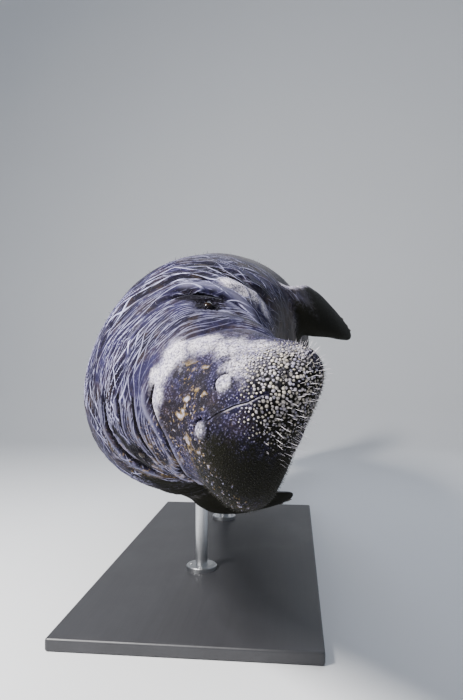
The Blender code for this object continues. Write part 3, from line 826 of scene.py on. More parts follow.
def flipper_grid(flipper):
    """A closed mesh of one flipper with its folds: name, points, faces and what the points carry."""
    shares = np.sin(np.linspace(0, math.pi / 2, FLIPPER_RINGS))
    turns = np.linspace(0, 2 * math.pi, FLIPPER_AROUND, endpoint=False)
    path, _, lead, outer, breadth, thickness, shift = (
        part.reshape(FLIPPER_RINGS, 1, -1) for part in flipper_form(flipper, shares)
    )
    fore, up = np.cos(turns)[:, None], np.sin(turns)[:, None]
    swell = thickness * (1 + FLIPPER_FULLNESS * fore) * up
    points = path + lead * (shift + breadth * fore) + outer * swell
    inside = (points - [0, 0, AXIS_HEIGHT]) @ np.array(Matrix.Rotation(-BANK, 3, "Y"))
    travel = np.interp(inside[..., 1] + BALANCE_STATION, WRINKLE_PLACES, WRINKLE_TRAVEL)
    lie = np.stack([inside[..., 2], travel, inside[..., 0]], -1)
    ways = unit(lead * fore * thickness + outer * up * breadth)
    nets, forces, creased = nets_at(lie.reshape(-1, 3))
    share = shares[:, None]
    strength = (0.05 + 0.70 * smooth_step(0.45, 0.12, share)) * smooth_step(0.995, 0.9, share)
    points = points + ways * (strength * creased.reshape(lie.shape[:2]))[..., None]
    # Painted light and shade by which way the skin faces: shade on the outer half and on faces turned
    # down, light on faces turned up
    upward = ways[..., 2]
    outer_half = smooth_step(0.30, 0.50, share) * smooth_step(0.95, 0.55, upward)
    lower = smooth_step(0.45, 0.0, upward) * smooth_step(0.12, 0.26, share)
    values = {
        "lie": lie,
        "nets": nets.reshape(lie.shape),
        "forces": forces.reshape(lie.shape) * strength[..., None] * [0.12, 0.12, 1.0],
        "wrinkle": strength,
        "dusk": 0.85 * np.maximum(outer_half, lower),
        "pale": smooth_step(0.35, 0.90, upward) * (0.65 - 0.35 * smooth_step(0.35, 0.60, share)),
        "station": share,
        "turn": turns[None],
    }

    def in_rows(numbers):
        """Numbers ring by ring, with those of the tip only once."""
        numbers = np.broadcast_to(numbers, lie.shape[:2] + numbers.shape[2:])
        return np.concatenate([numbers[:-1].reshape(-1, *numbers.shape[2:]), numbers[-1, :1]])

    cloud = in_rows(points)
    indices = np.arange(len(cloud) - 1).reshape(-1, FLIPPER_AROUND)
    faces = stitched([*indices, [len(cloud) - 1]])
    faces.append(tuple(indices[0][::-1]))
    return flipper[0], cloud, faces, {name: in_rows(value) for name, value in values.items()}


def new_object(name, data):
    """An object that holds a mesh, light or camera and is linked to the scene."""
    made = bpy.data.objects.new(name, data)
    bpy.context.scene.collection.objects.link(made)
    return made


def tree_of(points):
    """A search tree over a cloud of points."""
    tree = KDTree(len(points))
    for index, point in enumerate(points):
        tree.insert(point, index)
    tree.balance()
    return tree


def spots(points, places):
    """A mask that is 1 in the middle of each round spot, given as a place, an angle and a radius."""
    total = np.zeros(len(points))
    for station, degrees, radius in places:
        distance = distance_from(points, station, math.radians(degrees))
        total = np.maximum(total, bell(distance, radius))
    return total


def distance_from(points, station, angle):
    """How far points lie from a place of the plain skin."""
    centre = body_skin(np.array([station]), np.array([angle]))[0]
    return np.linalg.norm(points - centre, axis=1)


class SkinValues:
    """What the skin's points carry for its materials and its bristles, body first."""

    def __init__(self, relief, flippers):
        plain = relief.plain
        muzzle = distance_from(plain, PAPILLA_STATION, PAPILLA_ANGLE)
        longest = distance_from(plain, LONG_STATION, LONG_ANGLE)
        dusk = spots(plain, PAINTED_SHADE_SPOTS)
        nostrils = np.ones(len(plain))
        for side, station, angle in NOSTRILS:
            nostrils *= smooth_step(0.022, 0.034, distance_from(plain, station, side * angle))
        bare = nostrils * (1 - relief.hollow)
        front = smooth_step(*STUBBLE_END, relief.stations)
        rim = smooth_step(0.085, 0.045, distance_from(plain, RIM_STATION, RIM_ANGLE))
        near_rim = np.maximum(smooth_step(0.060, 0.034, longest), 0.8 * rim)
        crease = path_offset(plain, relief.outs, FACE_FOLDS[0][0])[0]
        bare = bare * smooth_step(0.0015, 0.0045, np.abs(crease))
        # Of these, crest, rim and pale carry painted light, partly over paler skin, and hollow and the
        # shade mask carry painted shade
        self.values = {
            "lie": relief.lie,
            "nets": relief.nets,
            "forces": relief.forces,
            "wrinkle": relief.wrinkle,
            "rim": relief.rim,
            "crest": relief.crest,
            "hollow": relief.hollow,
            "pale": spots(plain, LIT_PALE_SPOTS),
            "algae": spots(plain, ALGAE_SPOTS) * (0.3 + 0.7 * nostrils),
            "dusk": dusk,
            "earth": spots(plain, EARTH_SPOTS),
            "papilla": smooth_step(*PAPILLA_REACH, muzzle) * bare,
            "bristle": near_rim * smooth_step(0.11, 0.07, relief.stations) * bare,
            "stubble": np.clip(dusk + 0.6 * near_rim, 0, 1) * front * bare,
            "long": np.maximum(smooth_step(0.085, 0.020, longest), 0.7 * rim),
            "hair": smooth_step(0.10, 0.2, relief.stations) * smooth_step(2.6, 2.3, relief.stations),
            "station": relief.stations,
            "turn": relief.angles,
            "limb": np.zeros(len(plain)),
        }
        self.clouds = [relief.points(), *[flipper[1] for flipper in flippers]]
        for number, (_, cloud, _, more) in enumerate(flippers, 1):
            none = np.zeros(len(cloud))
            more["limb"] = none + number
            for name, values in self.values.items():
                self.values[name] = np.concatenate([values, more.get(name, none)])

    def carried_to(self, mesh):
        """Gives each point of a mesh the values of the nearest point that they were worked out for."""
        tree = tree_of(np.vstack(self.clouds))
        nearest = np.array([tree.find(point)[1] for point in mesh_points(mesh)])
        for name, values in self.values.items():
            write_values(mesh, name, values[nearest])


def softened_roots(mesh):
    """Rounds the crease where each flipper leaves the body."""
    points = mesh_points(mesh)
    limb = read_values(mesh, "limb")
    ends = np.empty(len(mesh.edges) * 2, np.int32)
    mesh.edges.foreach_get("vertices", ends)
    first, second = ends.reshape(-1, 2).T
    joins = np.unique(np.concatenate([first, second])[np.tile(limb[first] != limb[second], 2)])
    tree = tree_of(points[joins])
    rough = np.linalg.norm(points[:, None] - points[joins[::20]][None], axis=-1).min(1)
    near = np.nonzero(rough < 0.09)[0]
    distance = np.full(len(points), 1.0)
    distance[near] = [tree.find(points[index])[2] for index in near]
    weight = bell(distance, ROOT_SOFTNESS)
    used = (weight[first] > 0.01) | (weight[second] > 0.01)
    first, second = first[used], second[used]
    count = np.bincount(np.concatenate([first, second]), minlength=len(points))[:, None]
    for _ in range(ROOT_ROUNDS):
        total = np.zeros_like(points)
        np.add.at(total, first, points[second])
        np.add.at(total, second, points[first])
        mean = total / np.maximum(count, 1)
        points = np.where(count > 0, points + weight[:, None] * 0.8 * (mean - points), points)
    mesh.vertices.foreach_set("co", points.astype(np.float32).ravel())


def unwrapped(mesh):
    """Lays the skin out flat: the muzzle as a disc, the body as a strip and each flipper too."""
    station = read_values(mesh, "station")
    turn = read_values(mesh, "turn")
    limb = read_values(mesh, "limb").astype(int)
    corners = np.empty(len(mesh.loops), np.int32)
    mesh.loops.foreach_get("vertex_index", corners)
    totals = np.array([len(face.vertices) for face in mesh.polygons])
    starts = np.concatenate([[0], np.cumsum(totals)[:-1]])
    owner = np.repeat(np.arange(len(totals)), totals)
    first = corners[starts][owner]
    kind = limb[first]
    angle = (turn[corners] - turn[first] + math.pi) % (2 * math.pi) - math.pi + turn[first]
    place = station[corners]
    cap = np.maximum.reduceat(place, starts)[owner] <= MUZZLE_END
    radius = np.interp(place, *disc_travel())
    disc = np.stack([np.cos(angle), np.sin(angle)], -1) * radius[:, None] + 0.5
    strip = np.stack([angle / (2 * math.pi), (place / BODY_LENGTH) ** 0.75], -1)
    flap = np.stack([angle / (2 * math.pi), place], -1)
    uv = np.where(cap[:, None], disc * 0.34 + [0.65, 0.01], strip * [0.58, 0.96] + [0.03, 0.02])
    for number in (1, 2):
        lower = np.array([0.68, 0.12 + 0.27 * number])
        uv = np.where((kind == number)[:, None], flap * [0.24, 0.24] + lower, uv)
    layer = mesh.uv_layers.new(name="OFBake")
    layer.data.foreach_set("uv", uv.astype(np.float32).ravel())


def disc_travel():
    """Stations of the muzzle, and how far out each is on its flat disc, from 0 to a half."""
    samples = np.linspace(0, MUZZLE_END, 400)
    travel = np.cumsum(np.hypot(np.gradient(samples), np.gradient(profile_at(samples)[0])))
    return samples, (travel - travel[0]) / (travel[-1] - travel[0]) / 2


def joined(body, others, operation):
    """The mesh of an object joined with others or cut by them. All of them are removed."""
    group = bpy.data.collections.new("others")
    bpy.context.scene.collection.children.link(group)
    for other in others:
        group.objects.link(other)
    change = body.modifiers.new("joined", "BOOLEAN")
    change.operation = operation
    change.operand_type = "COLLECTION"
    change.collection = group
    change.solver = "EXACT"
    graph = bpy.context.evaluated_depsgraph_get()
    mesh = bpy.data.meshes.new_from_object(body.evaluated_get(graph))
    for other in [*others, body]:
        bpy.data.objects.remove(other)
    bpy.data.collections.remove(group)
    return mesh


def skin_mesh():
    """The whole skin: the body with its fine forms, and both flippers fused to it."""
    mesh = body_grid()
    for level in (0, 1):
        refined(mesh, near_details(mesh, level))
    relief = Relief(*grid_places(mesh))
    mesh.vertices.foreach_set("co", relief.points().astype(np.float32).ravel())
    for name in ("station", "cosine", "sine"):
        mesh.attributes.remove(mesh.attributes[name])
    flippers = [flipper_grid(flipper) for flipper in FLIPPERS]
    limbs = []
    for name, cloud, faces, *_ in flippers:
        limb = bpy.data.meshes.new(name)
        limb.from_pydata(cloud, [], faces)
        limbs.append(new_object("limb", limb))
    whole = joined(new_object("body", mesh), limbs, "UNION")
    SkinValues(relief, flippers).carried_to(whole)
    softened_roots(whole)
    unwrapped(whole)
    whole.shade_smooth()
    return whole


def add_node(tree, kind, inputs=None, **settings):
    """Adds a node with its settings, and sets or links its inputs by name or number."""
    node = tree.nodes.new(kind)
    for name, value in settings.items():
        setattr(node, name, value)
    for key, value in (inputs or {}).items():
        if isinstance(value, Value):
            tree.links.new(value.socket, node.inputs[key])
        else:
            node.inputs[key].default_value = value
    return node


def given_by(tree, kind, inputs=None, output=0, **settings):
    """Adds a node, and returns what one of its outputs gives."""
    return Value(add_node(tree, kind, inputs, **settings).outputs[output])


class Value:
    """What an output of a node gives. Sums and mixes with it add further nodes to its tree."""

    def __init__(self, socket):
        self.socket = socket
        self.tree = socket.id_data

    def maths(self, operation, *values):
        """One sum of the numbers given."""
        return given_by(self.tree, "ShaderNodeMath", dict(enumerate(values)), operation=operation)

    def __add__(self, other):
        return self.maths("ADD", self, other)

    def __sub__(self, other):
        return self.maths("SUBTRACT", self, other)

    def __rsub__(self, other):
        return self.maths("SUBTRACT", other, self)

    def __mul__(self, other):
        return self.maths("MULTIPLY", self, other)

    def __truediv__(self, other):
        return self.maths("DIVIDE", self, other)

    def __rtruediv__(self, other):
        return self.maths("DIVIDE", other, self)

    __radd__ = __add__
    __rmul__ = __mul__

    def most(self, other):
        """The greater of two numbers."""
        return self.maths("MAXIMUM", self, other)

    def clamped(self):
        """The same sum, held between 0 and 1."""
        self.socket.node.use_clamp = True
        return self

    def step(self, low, high, top=1.0):
        """0 before low, top beyond high, and an even turn between them."""
        inputs = {"Value": self, "From Min": low, "From Max": high, "To Min": 0.0, "To Max": top}
        return given_by(self.tree, "ShaderNodeMapRange", inputs, interpolation_type="SMOOTHSTEP")

    def mix(self, first, second):
        """The colour that lies between two others by this share."""
        inputs = {0: self}
        for key, colour in ((6, first), (7, second)):
            inputs[key] = colour if isinstance(colour, Value) else (*colour, 1)
        return given_by(self.tree, "ShaderNodeMix", inputs, 2, data_type="RGBA", clamp_factor=True)

    def noise(self, scale, detail=4.0, roughness=0.55, distortion=0.0):
        """Noise at this place."""
        inputs = {"Vector": self, "Scale": scale, "Detail": detail, "Roughness": roughness,
                  "Distortion": distortion}
        return given_by(self.tree, "ShaderNodeTexNoise", inputs, "Fac")

    def stretched(self, scale):
        """This place, scaled along each axis."""
        return given_by(self.tree, "ShaderNodeMapping", {"Vector": self, "Scale": scale})

    def parts(self):
        """The three numbers of a vector."""
        node = add_node(self.tree, "ShaderNodeSeparateXYZ", {0: self})
        return [Value(socket) for socket in node.outputs]

    def times(self, number):
        """This vector made longer."""
        inputs = {0: self, "Scale": number}
        return given_by(self.tree, "ShaderNodeVectorMath", inputs, operation="SCALE")

    def plus(self, other):
        """The sum of two vectors."""
        return given_by(self.tree, "ShaderNodeVectorMath", {0: self, 1: other})

    def stored(self, name, value, kind="FLOAT", domain="POINT"):
        """This geometry, with a value kept on it under a name."""
        inputs = {"Geometry": self, "Name": name, "Value": value}
        return given_by(self.tree, "GeometryNodeStoreNamedAttribute", inputs, data_type=kind,
                        domain=domain)


def carried(tree, name, kind="Fac"):
    """A number, or with "Vector" a vector, that the mesh carries under a name."""
    return given_by(tree, "ShaderNodeAttribute", None, kind, attribute_name=name)


def combined(tree, *parts):
    """A vector of three numbers."""
    return given_by(tree, "ShaderNodeCombineXYZ", dict(enumerate(parts)))


def shaded(colour, factor):
    """A colour made darker or lighter."""
    return tuple(part * factor for part in colour)


class Finish:
    """A Principled material under construction, with the places in space that it is laid out by."""

    def __init__(self, name):
        self.material = bpy.data.materials.new(name)
        self.material.use_nodes = True
        self.tree = self.material.node_tree
        self.shader = self.tree.nodes["Principled BSDF"]
        self.place = given_by(self.tree, "ShaderNodeTexCoord", None, "Object")
        self.normal = None

    def put(self, inputs):
        """Sets or links inputs of the shader by name."""
        for name, value in inputs.items():
            if isinstance(value, Value):
                self.tree.links.new(value.socket, self.shader.inputs[name])
            else:
                self.shader.inputs[name].default_value = value

    def bump(self, height, distance):
        """Adds a layer of bump over the earlier ones."""
        inputs = {"Height": height, "Distance": distance, "Strength": 1.0}
        if self.normal:
            inputs["Normal"] = self.normal
        self.normal = given_by(self.tree, "ShaderNodeBump", inputs, "Normal")
        self.put({"Normal": self.normal})


def wrinkle_lines(place, wrinkle, travel):
    """Lines on the crests of the nets, drawn bright as painted highlight over partly paler skin, and
    masks of painted shade in the dips of the coarse nets and between the fine lines.
    """
    phases, forces = (carried(place.tree, name, "Vector").parts() for name in ("nets", "forces"))
    first, second, fine = (
        phase.maths("PINGPONG", phase, 0.5) * net[0] for phase, net in zip(phases, NETS)
    )
    width = place.noise(30.0, 4.0).step(0.38, 0.68, 0.0016) + 0.0008
    width = width * (1.0 - travel.step(0.33, 0.42, 0.35))
    faint = forces[2] * place.noise(70.0, 2.0).step(0.35, 0.60) * 0.50
    coarse = (first.step(width, 0.0) * forces[0]).most(second.step(width, 0.0) * forces[1])
    lines = coarse.most(fine.step(0.0010, 0.0) * faint)
    valley_shade = first.maths("MINIMUM", first, second).step(0.0022, 0.0050, 0.85) * wrinkle
    return lines, valley_shade, fine.step(0.0010, 0.0024, 0.55) * faint


def skin_colours(finish, colours):
    """The colour of the skin with its markings and its painted light and shade, and the heights of its
    finest forms.
    """
    tree, place = finish.tree, finish.place
    wrinkle, crest, hollow, rim, pale, algae, dusk, earth, papilla = (
        carried(tree, name) for name in COLOUR_MASKS
    )
    height, travel, across = carried(tree, "lie", "Vector").parts()
    grain = place.noise(240.0, 3.0, 0.6)
    speck = place.noise(130.0, 4.0, 0.65)

    # the violet front, the grey hide further back and below, and the brown film
    colour = place.noise(9.0, 6.0, 0.62).step(0.38, 0.62).mix(colours.dark, colours.middle)
    hide = place.noise(5.0, 8.0, 0.66).step(0.36, 0.62).mix(shaded(colours.hide, 0.38), colours.hide)
    half_width = travel * 0.33 + 0.10
    under = (height / half_width).step(-0.45, -0.80, 0.85) * travel.step(0.05, 0.14)
    right = (across / half_width).step(0.45, -0.15, 0.10)
    rear = (travel + right).step(0.48, 0.67).most(under)
    colour = (rear * 0.95).mix(colour, hide)
    blotch = place.noise(27.0, 6.0, 0.62).step(0.47, 0.62)
    film = (blotch * earth.step(0.0, 0.6, 0.40) + blotch * 0.30).clamped() * (1.0 - pale).clamped()
    colour = film.mix(colour, colours.brown)

    # the wrinkles: painted shade between them, and painted highlight on their crests and on raised
    # forms, partly over paler skin
    lines, valley_shade, furrow_shade = wrinkle_lines(place, wrinkle, travel)
    colour = valley_shade.mix(colour, colours.dark)
    drawn = (crest.step(0.25, 0.95) * 0.45).most(lines * (0.95 - rear * 0.45))
    colour = drawn.mix(colour, rear.mix(colours.crest, shaded(colours.hide, 2.1)))

    # the pale face, painted light on the lit top and left of the face partly over paler skin, with its
    # mist and stipple; and the pores of the muzzle
    ragged = (place.noise(42.0, 6.0) - 0.5) * 1.1
    lit = (pale + ragged).step(0.22, 0.92) * speck.step(0.20, 0.50)
    misty = place.noise(75.0, 4.0, 0.6).step(0.60, 0.36, 0.60).most(furrow_shade)
    dotted = place.noise(330.0, 2.0).step(0.55, 0.38, 0.72)
    bright = dotted.mix(misty.mix(colours.pale, colours.stipple), colours.middle)
    colour = (lit * 0.90).mix(colour, bright)
    pores = given_by(tree, "ShaderNodeTexVoronoi", {"Vector": place, "Scale": 270.0}, "Distance")
    front = travel.step(0.17, 0.10)
    colour = (pores.step(0.45, 0.12, 0.38) * front).mix(colour, colours.stipple)
    colour = (pores.step(0.42, 0.75, 0.60) * front).mix(colour, colours.dark)

    # the dark growth with its washed, bright and ochre patches
    grown = algae.step(0.05, 0.6) * place.noise(44.0, 6.0, 0.65).step(0.32, 0.50) * 0.95
    colour = grown.mix(colour, colours.algae)
    washed = place.noise(62.0, 7.0, 0.72, 0.6).step(0.55, 0.72, 0.45) * algae.most(earth)
    colour = washed.mix(colour, colours.stipple)
    patch = place.noise(34.0, 3.0, 0.5)
    among = algae.step(0.25, 0.7).most(earth.step(0.35, 0.9, 0.7))
    colour = (patch.step(0.590, 0.640, 0.32) * among).mix(colour, colours.ochre)
    colour = (patch.step(0.625, 0.700, 0.55) * among).mix(colour, colours.crest)
    gold = place.noise(120.0, 5.0).step(0.60, 0.72, 0.65) * algae.most(earth * 0.8)
    colour = gold.mix(colour, colours.ochre)

    # painted shade over the low muzzle and the underside with flecks on it, painted shade between the
    # papillae and in the depths of folds, and the painted highlight along the muzzle's crease
    shade = (dusk.step(0.10, 0.60) * speck.step(0.80, 0.42)).most(dusk.step(0.35, 0.85))
    colour = (shade * 0.97).mix(colour, colours.dusk)
    flecks = place.noise(190.0, 4.0, 0.6).step(0.57, 0.69, 0.55) * earth.step(0.30, 0.75)
    colour = flecks.mix(colour, speck.step(0.42, 0.60).mix(colours.ochre, colours.crest))
    colour = papilla.step(0.40, 1.0, 0.85).mix(colour, colours.dusk)
    deep = (hollow + (speck - 0.5) * 0.7).step(0.16, 0.52, 0.98)
    colour = deep.mix(colour, colours.hollow)
    colour = (rim * 0.48).mix(colour, colours.pale)
    # A painted sheen of pale grain, kept off the painted shade
    grain_sheen = grain.step(0.55, 0.75, 0.08) * (1.0 - dusk).clamped()
    colour = grain_sheen.mix(colour, colours.crest)
    return colour, lines, pores.step(0.60, 0.05) * front + grain * 0.4, grain


def skin_material(colours):
    """The skin: its colours, a dull sheen, and bump for its wrinkles, pores and grain."""
    finish = Finish("manatee_skin")
    colour, lines, stipple, grain = skin_colours(finish, colours)
    rough = grain.step(0.3, 0.8, 0.20) + 0.58
    finish.put({"Base Color": colour, "Roughness": rough, "Specular IOR Level": 0.07})
    finish.bump(lines, 0.0012)
    finish.bump(stipple, 0.0008)
    return finish.material


def coat_material(name, base, tip, other, roughness):
    """Papillae or bristles: a colour at the root, and one between two others at the tip. On the
    papillae the root colour is painted shade and the tips are painted light.
    """
    finish = Finish(name)
    tips = carried(finish.tree, "tone").mix(tip, other)
    colour = carried(finish.tree, "tip").step(0.30, 1.0).mix(base, tips)
    mottle = finish.place.noise(60.0, 4.0).step(0.42, 0.66, 0.60)
    # Darker in random mottling, and with painted shade where the copies stand in the skin's painted
    # shade
    darker = mottle.most(carried(finish.tree, "shade").step(0.25, 0.95, 0.72))
    finish.put({"Base Color": darker.mix(colour, base), "Roughness": roughness})
    finish.bump(finish.place.noise(500.0, 2.0), 0.0003)
    return finish.material


def ring_form(rings, sides, bend=0.0):
    """A small closed form along +Z, through rings of (radius, height) that bend over towards +X."""
    shell = bmesh.new()
    rows = []
    for radius, height in rings:
        lean = bend * height**2
        turns = [2 * math.pi * step / sides for step in range(sides if radius else 1)]
        rows.append([
            shell.verts.new((radius * math.cos(turn) + lean, radius * math.sin(turn), height))
            for turn in turns
        ])
    for corners in stitched(rows):
        shell.faces.new(corners)
    shell.faces.new(rows[0][::-1])
    if len(rows[-1]) > 1:
        shell.faces.new(rows[-1])
    return shell


def mesh_from(shell, name):
    """The mesh of a bmesh, which is freed."""
    mesh = bpy.data.meshes.new(name)
    shell.to_mesh(mesh)
    shell.free()
    return mesh


def template(name, sides, rings, bend=0.0):
    """The form of a papilla or hair, that keeps its own heights and sides."""
    shell = ring_form(rings, sides, bend)
    bmesh.ops.triangulate(shell, faces=shell.faces)
    mesh = mesh_from(shell, name)
    _, across, heights = mesh_points(mesh).T
    write_values(mesh, "tip", np.clip(heights / heights.max(), 0, 1))
    write_values(mesh, "side", 0.5 + 0.5 * across / np.abs(across).max())
    mesh.shade_smooth()
    return new_object(name, mesh)


def group_tree(name, rows):
    """An empty geometry group with a surface and the named inputs, and those inputs by name."""
    tree = bpy.data.node_groups.new(name, "GeometryNodeTree")
    tree.is_modifier = True
    face = tree.interface
    face.new_socket("Surface", in_out="INPUT", socket_type="NodeSocketGeometry")
    face.new_socket("Result", in_out="OUTPUT", socket_type="NodeSocketGeometry")
    for label, kind, value in rows:
        socket = face.new_socket(label, in_out="INPUT", socket_type="NodeSocket" + kind)
        if value is not None:
            socket.default_value = value
    given = add_node(tree, "NodeGroupInput").outputs
    return tree, {socket.name: Value(socket) for socket in given if socket.name}


def end_group(geometry, finish):
    """Gives the geometry its material, as the result of its group."""
    inputs = {"Geometry": geometry, "Material": finish}
    result = given_by(geometry.tree, "GeometryNodeSetMaterial", inputs)
    add_node(geometry.tree, "NodeGroupOutput", {"Result": result})


def coat_tree(name, mask):
    """Scatters one form over the surface where a mask says, standing out of it."""
    tree, given = group_tree(name, (
        ("Form", "Object", None),
        ("Spacing", "Float", 0.008),
        ("Size", "Float", 1.0),
        ("Variation", "Float", 0.3),
        ("Longer", "Float", 0.0),
        ("Tilt", "Float", 0.2),
        ("Patch", "Float", 0.003),
        ("Seed", "Int", 1),
        ("Finish", "Material", None),
    ))

    def read(attribute, kind="FLOAT"):
        """What the geometry carries under a name."""
        return given_by(tree, "GeometryNodeInputNamedAttribute", {"Name": attribute}, data_type=kind)

    def dice(low, high, seed):
        """A random number for each copy."""
        inputs = {2: low, 3: high, "Seed": given["Seed"] + float(seed)}
        return given_by(tree, "FunctionNodeRandomValue", inputs, 1, data_type="FLOAT")

    spacing, variation, seed = given["Spacing"], given["Variation"], given["Seed"]
    scatter = add_node(tree, "GeometryNodeDistributePointsOnFaces", {
        "Mesh": given["Surface"], "Distance Min": spacing, "Density Max": 1.6 / (spacing * spacing),
        "Density Factor": (read(mask) * 2.5).clamped(), "Seed": seed,
    }, distribute_method="POISSON").outputs
    roots = Value(scatter["Points"]).stored("shade", read("dusk")).stored("tone", dice(0.0, 1.0, 53))
    roots = roots.stored("root", read("OFBake", "FLOAT_VECTOR"), "FLOAT_VECTOR")
    lean = given_by(tree, "FunctionNodeRandomValue", {
        0: (-1, -1, -1), 1: (1, 1, 1), "Seed": seed + 11.0,
    }, data_type="FLOAT_VECTOR")
    way = Value(scatter["Normal"]).plus(lean.times(given["Tilt"]))
    turned = given_by(tree, "FunctionNodeAlignRotationToVector", {"Vector": way}, axis="Z")
    spin = given_by(tree, "FunctionNodeAxisAngleToRotation", {
        "Axis": (0, 0, 1), "Angle": dice(0.0, 2 * math.pi, 23),
    })
    rotation = given_by(tree, "FunctionNodeRotateRotation", {0: turned, 1: spin},
                        rotation_space="LOCAL")
    size = given["Size"] * dice(1.0 - variation, 1.0 + variation, 37)
    wide = size * (0.35 + read(mask) * 0.65)
    high = wide * (1.0 + given["Longer"] * read("long"))
    scale = combined(tree, wide * dice(0.72, 1.25, 61), wide, high)
    form = given_by(tree, "GeometryNodeObjectInfo", {"Object": given["Form"]}, "Geometry")
    copies = given_by(tree, "GeometryNodeInstanceOnPoints", {
        "Points": roots, "Instance": form, "Rotation": rotation, "Scale": scale,
    })
    real = given_by(tree, "GeometryNodeRealizeInstances", {"Geometry": copies})
    offset = combined(tree, read("tip"), read("side")).times(given["Patch"])
    spot = read("root", "FLOAT_VECTOR").plus(offset)
    end_group(real.stored("OFBake", spot, "FLOAT2", "CORNER"), given["Finish"])
    return tree


def grown(surface, name, tree, values):
    """The mesh that a geometry group makes from a surface, as an object of its own."""
    carrier = new_object(name, surface.data)
    change = carrier.modifiers.new(name, "NODES")
    change.node_group = tree
    for item in tree.interface.items_tree:
        if item.in_out == "INPUT" and item.name in values:
            change[item.identifier] = values[item.name]
    carrier.update_tag()
    graph = bpy.context.evaluated_depsgraph_get()
    mesh = bpy.data.meshes.new_from_object(carrier.evaluated_get(graph))
    bpy.data.objects.remove(carrier)
    if not len(mesh.polygons):
        raise RuntimeError(name + " came out empty")
    for layer in list(mesh.attributes):
        if not (layer.name in KEPT_VALUES or layer.is_internal or layer.is_required):
            mesh.attributes.remove(layer)
    mesh.shade_smooth()
    return new_object(name, mesh)


def settings():
    """The model's settings in this scene."""
    return bpy.context.scene.manatee_settings


def coat(name, mask, form, finish, numbers):
    """Scatters one form over the skin, as a piece of its own."""
    shape = template(name + "_form", *form)
    values = {"Form": shape, "Finish": finish, **numbers}
    made = grown(bpy.data.objects["manatee_skin"], name, coat_tree(name, mask), values)
    bpy.data.objects.remove(shape)
    return made


def add_ball(shell, sides):
    """Adds a ball of radius 1, and returns its points."""
    rings = sides * 2 // 3
    return bmesh.ops.create_uvsphere(shell, u_segments=sides, v_segments=rings, radius=1)["verts"]


def laid(place, first, second, third):
    """The matrix that lays X, Y and Z along three unit vectors at a place."""
    turned = Matrix((Vector(first), Vector(second), Vector(third))).transposed().to_4x4()
    return Matrix.Translation(Vector(place)) @ turned


def eyeball(side, name):
    """One eye: a ball with a clear swelling in front, where its iris lies."""
    place, aft, across, out = skin_frame(EYE_STATION, side * EYE_ANGLE)
    radius = EYE_RADIUS * EYE_SHARE
    shell = bmesh.new()
    for vert in add_ball(shell, EYE_SIDES):
        tilt = math.acos(max(-1.0, min(1.0, vert.co.z)))
        vert.co *= radius * (1 + IRIS_SWELL * math.exp(-((tilt / IRIS_SPREAD) ** 2)))
    mesh = mesh_from(shell, name)
    write_values(mesh, "gaze", mesh_points(mesh)[:, 2] / EYE_RADIUS)
    mesh.transform(laid(place - out * EYE_SUNK, aft, across, out))
    mesh.shade_smooth()
    return new_object(name, mesh)


def eye_material(colour):
    """A dark wet eye: black pupil, brown iris with fine rays and a dark rim."""
    finish = Finish("eye")
    gaze = carried(finish.tree, "gaze")
    iris = finish.place.noise(900.0, 3.0).mix(shaded(colour, 0.4), colour)
    inner = gaze.step(0.90, 0.93).mix(iris, PUPIL_COLOUR)
    whole = gaze.step(0.74, 0.80).mix(EYE_RIM_COLOUR, inner)
    finish.put({"Base Color": whole, "Roughness": 0.14, "Specular IOR Level": 0.25})
    return finish.material


def nails():
    """Three blunt nails at the edge of each flipper, each a flattened half ball with a ridge."""
    shell = bmesh.new()
    for flipper in FLIPPERS:
        form = flipper_form(flipper, np.array([share for share, _ in NAIL_PLACES]))
        for row, (_, fore) in zip(zip(*form), NAIL_PLACES):
            path, along, lead, outer, breadth, thickness, shift = row
            swell = thickness * (1 + FLIPPER_FULLNESS * fore) * math.sqrt(1 - fore**2)
            place = path + lead * (shift + breadth * fore) + outer * (swell + NAIL_LIFT)
            verts = add_ball(shell, NAIL_SIDES)
            for vert in verts:
                x, y, z = vert.co
                vert.co.z = z * (0.55 + 0.45 * (1 - abs(y)) ** 0.5) if z > 0 else z * 0.4
                vert.co.x = x + 0.18 * (1 - y * y) * (x > 0)
            matrix = laid(place, along, lead, outer) @ Matrix.Diagonal((*NAIL_SIZE, 1))
            bmesh.ops.transform(shell, matrix=matrix, verts=verts)
    mesh = mesh_from(shell, "flipper_nails")
    mesh.shade_smooth()
    return new_object("flipper_nails", mesh)


def nail_material():
    """Dull dark horn with fine streaks."""
    finish = Finish("nail")
    streak = finish.place.noise(380.0, 4.0, 0.6, 1.5)
    colour = streak.mix((0.035, 0.030, 0.026), (0.16, 0.14, 0.12))
    finish.put({"Base Color": colour, "Roughness": 0.35})
    finish.bump(streak, 0.0003)
    return finish.material


def board_material(colour):
    """Wood under dark satin paint: the grain shows faintly, and the finish varies a little."""
    finish = Finish("stand_board")
    grain = finish.place.stretched((60, 3.5, 60)).noise(1.0, 6.0, 0.65, 0.8)
    cloud = finish.place.noise(5.0, 3.0)
    paint = grain.mix(shaded(colour, 0.65), colour)
    paint = cloud.step(0.45, 0.75, 0.35).mix(paint, shaded(colour, 1.5))
    finish.put({"Base Color": paint, "Roughness": cloud * 0.22 + 0.34})
    finish.bump(grain, 0.0004)
    return finish.material


def steel_material():
    """Brushed steel: fine lines round the rods, with faint smudges."""
    finish = Finish("stand_steel")
    brushed = finish.place.stretched((12, 12, 900)).noise(1.0, 3.0, 0.6)
    smudge = finish.place.noise(18.0, 4.0, 0.6)
    colour = brushed.mix((0.46, 0.47, 0.48), (0.66, 0.67, 0.68))
    finish.put({"Base Color": colour, "Metallic": 1.0, "Roughness": smudge * 0.22 + 0.20})
    finish.bump(brushed, 0.00015)
    return finish.material


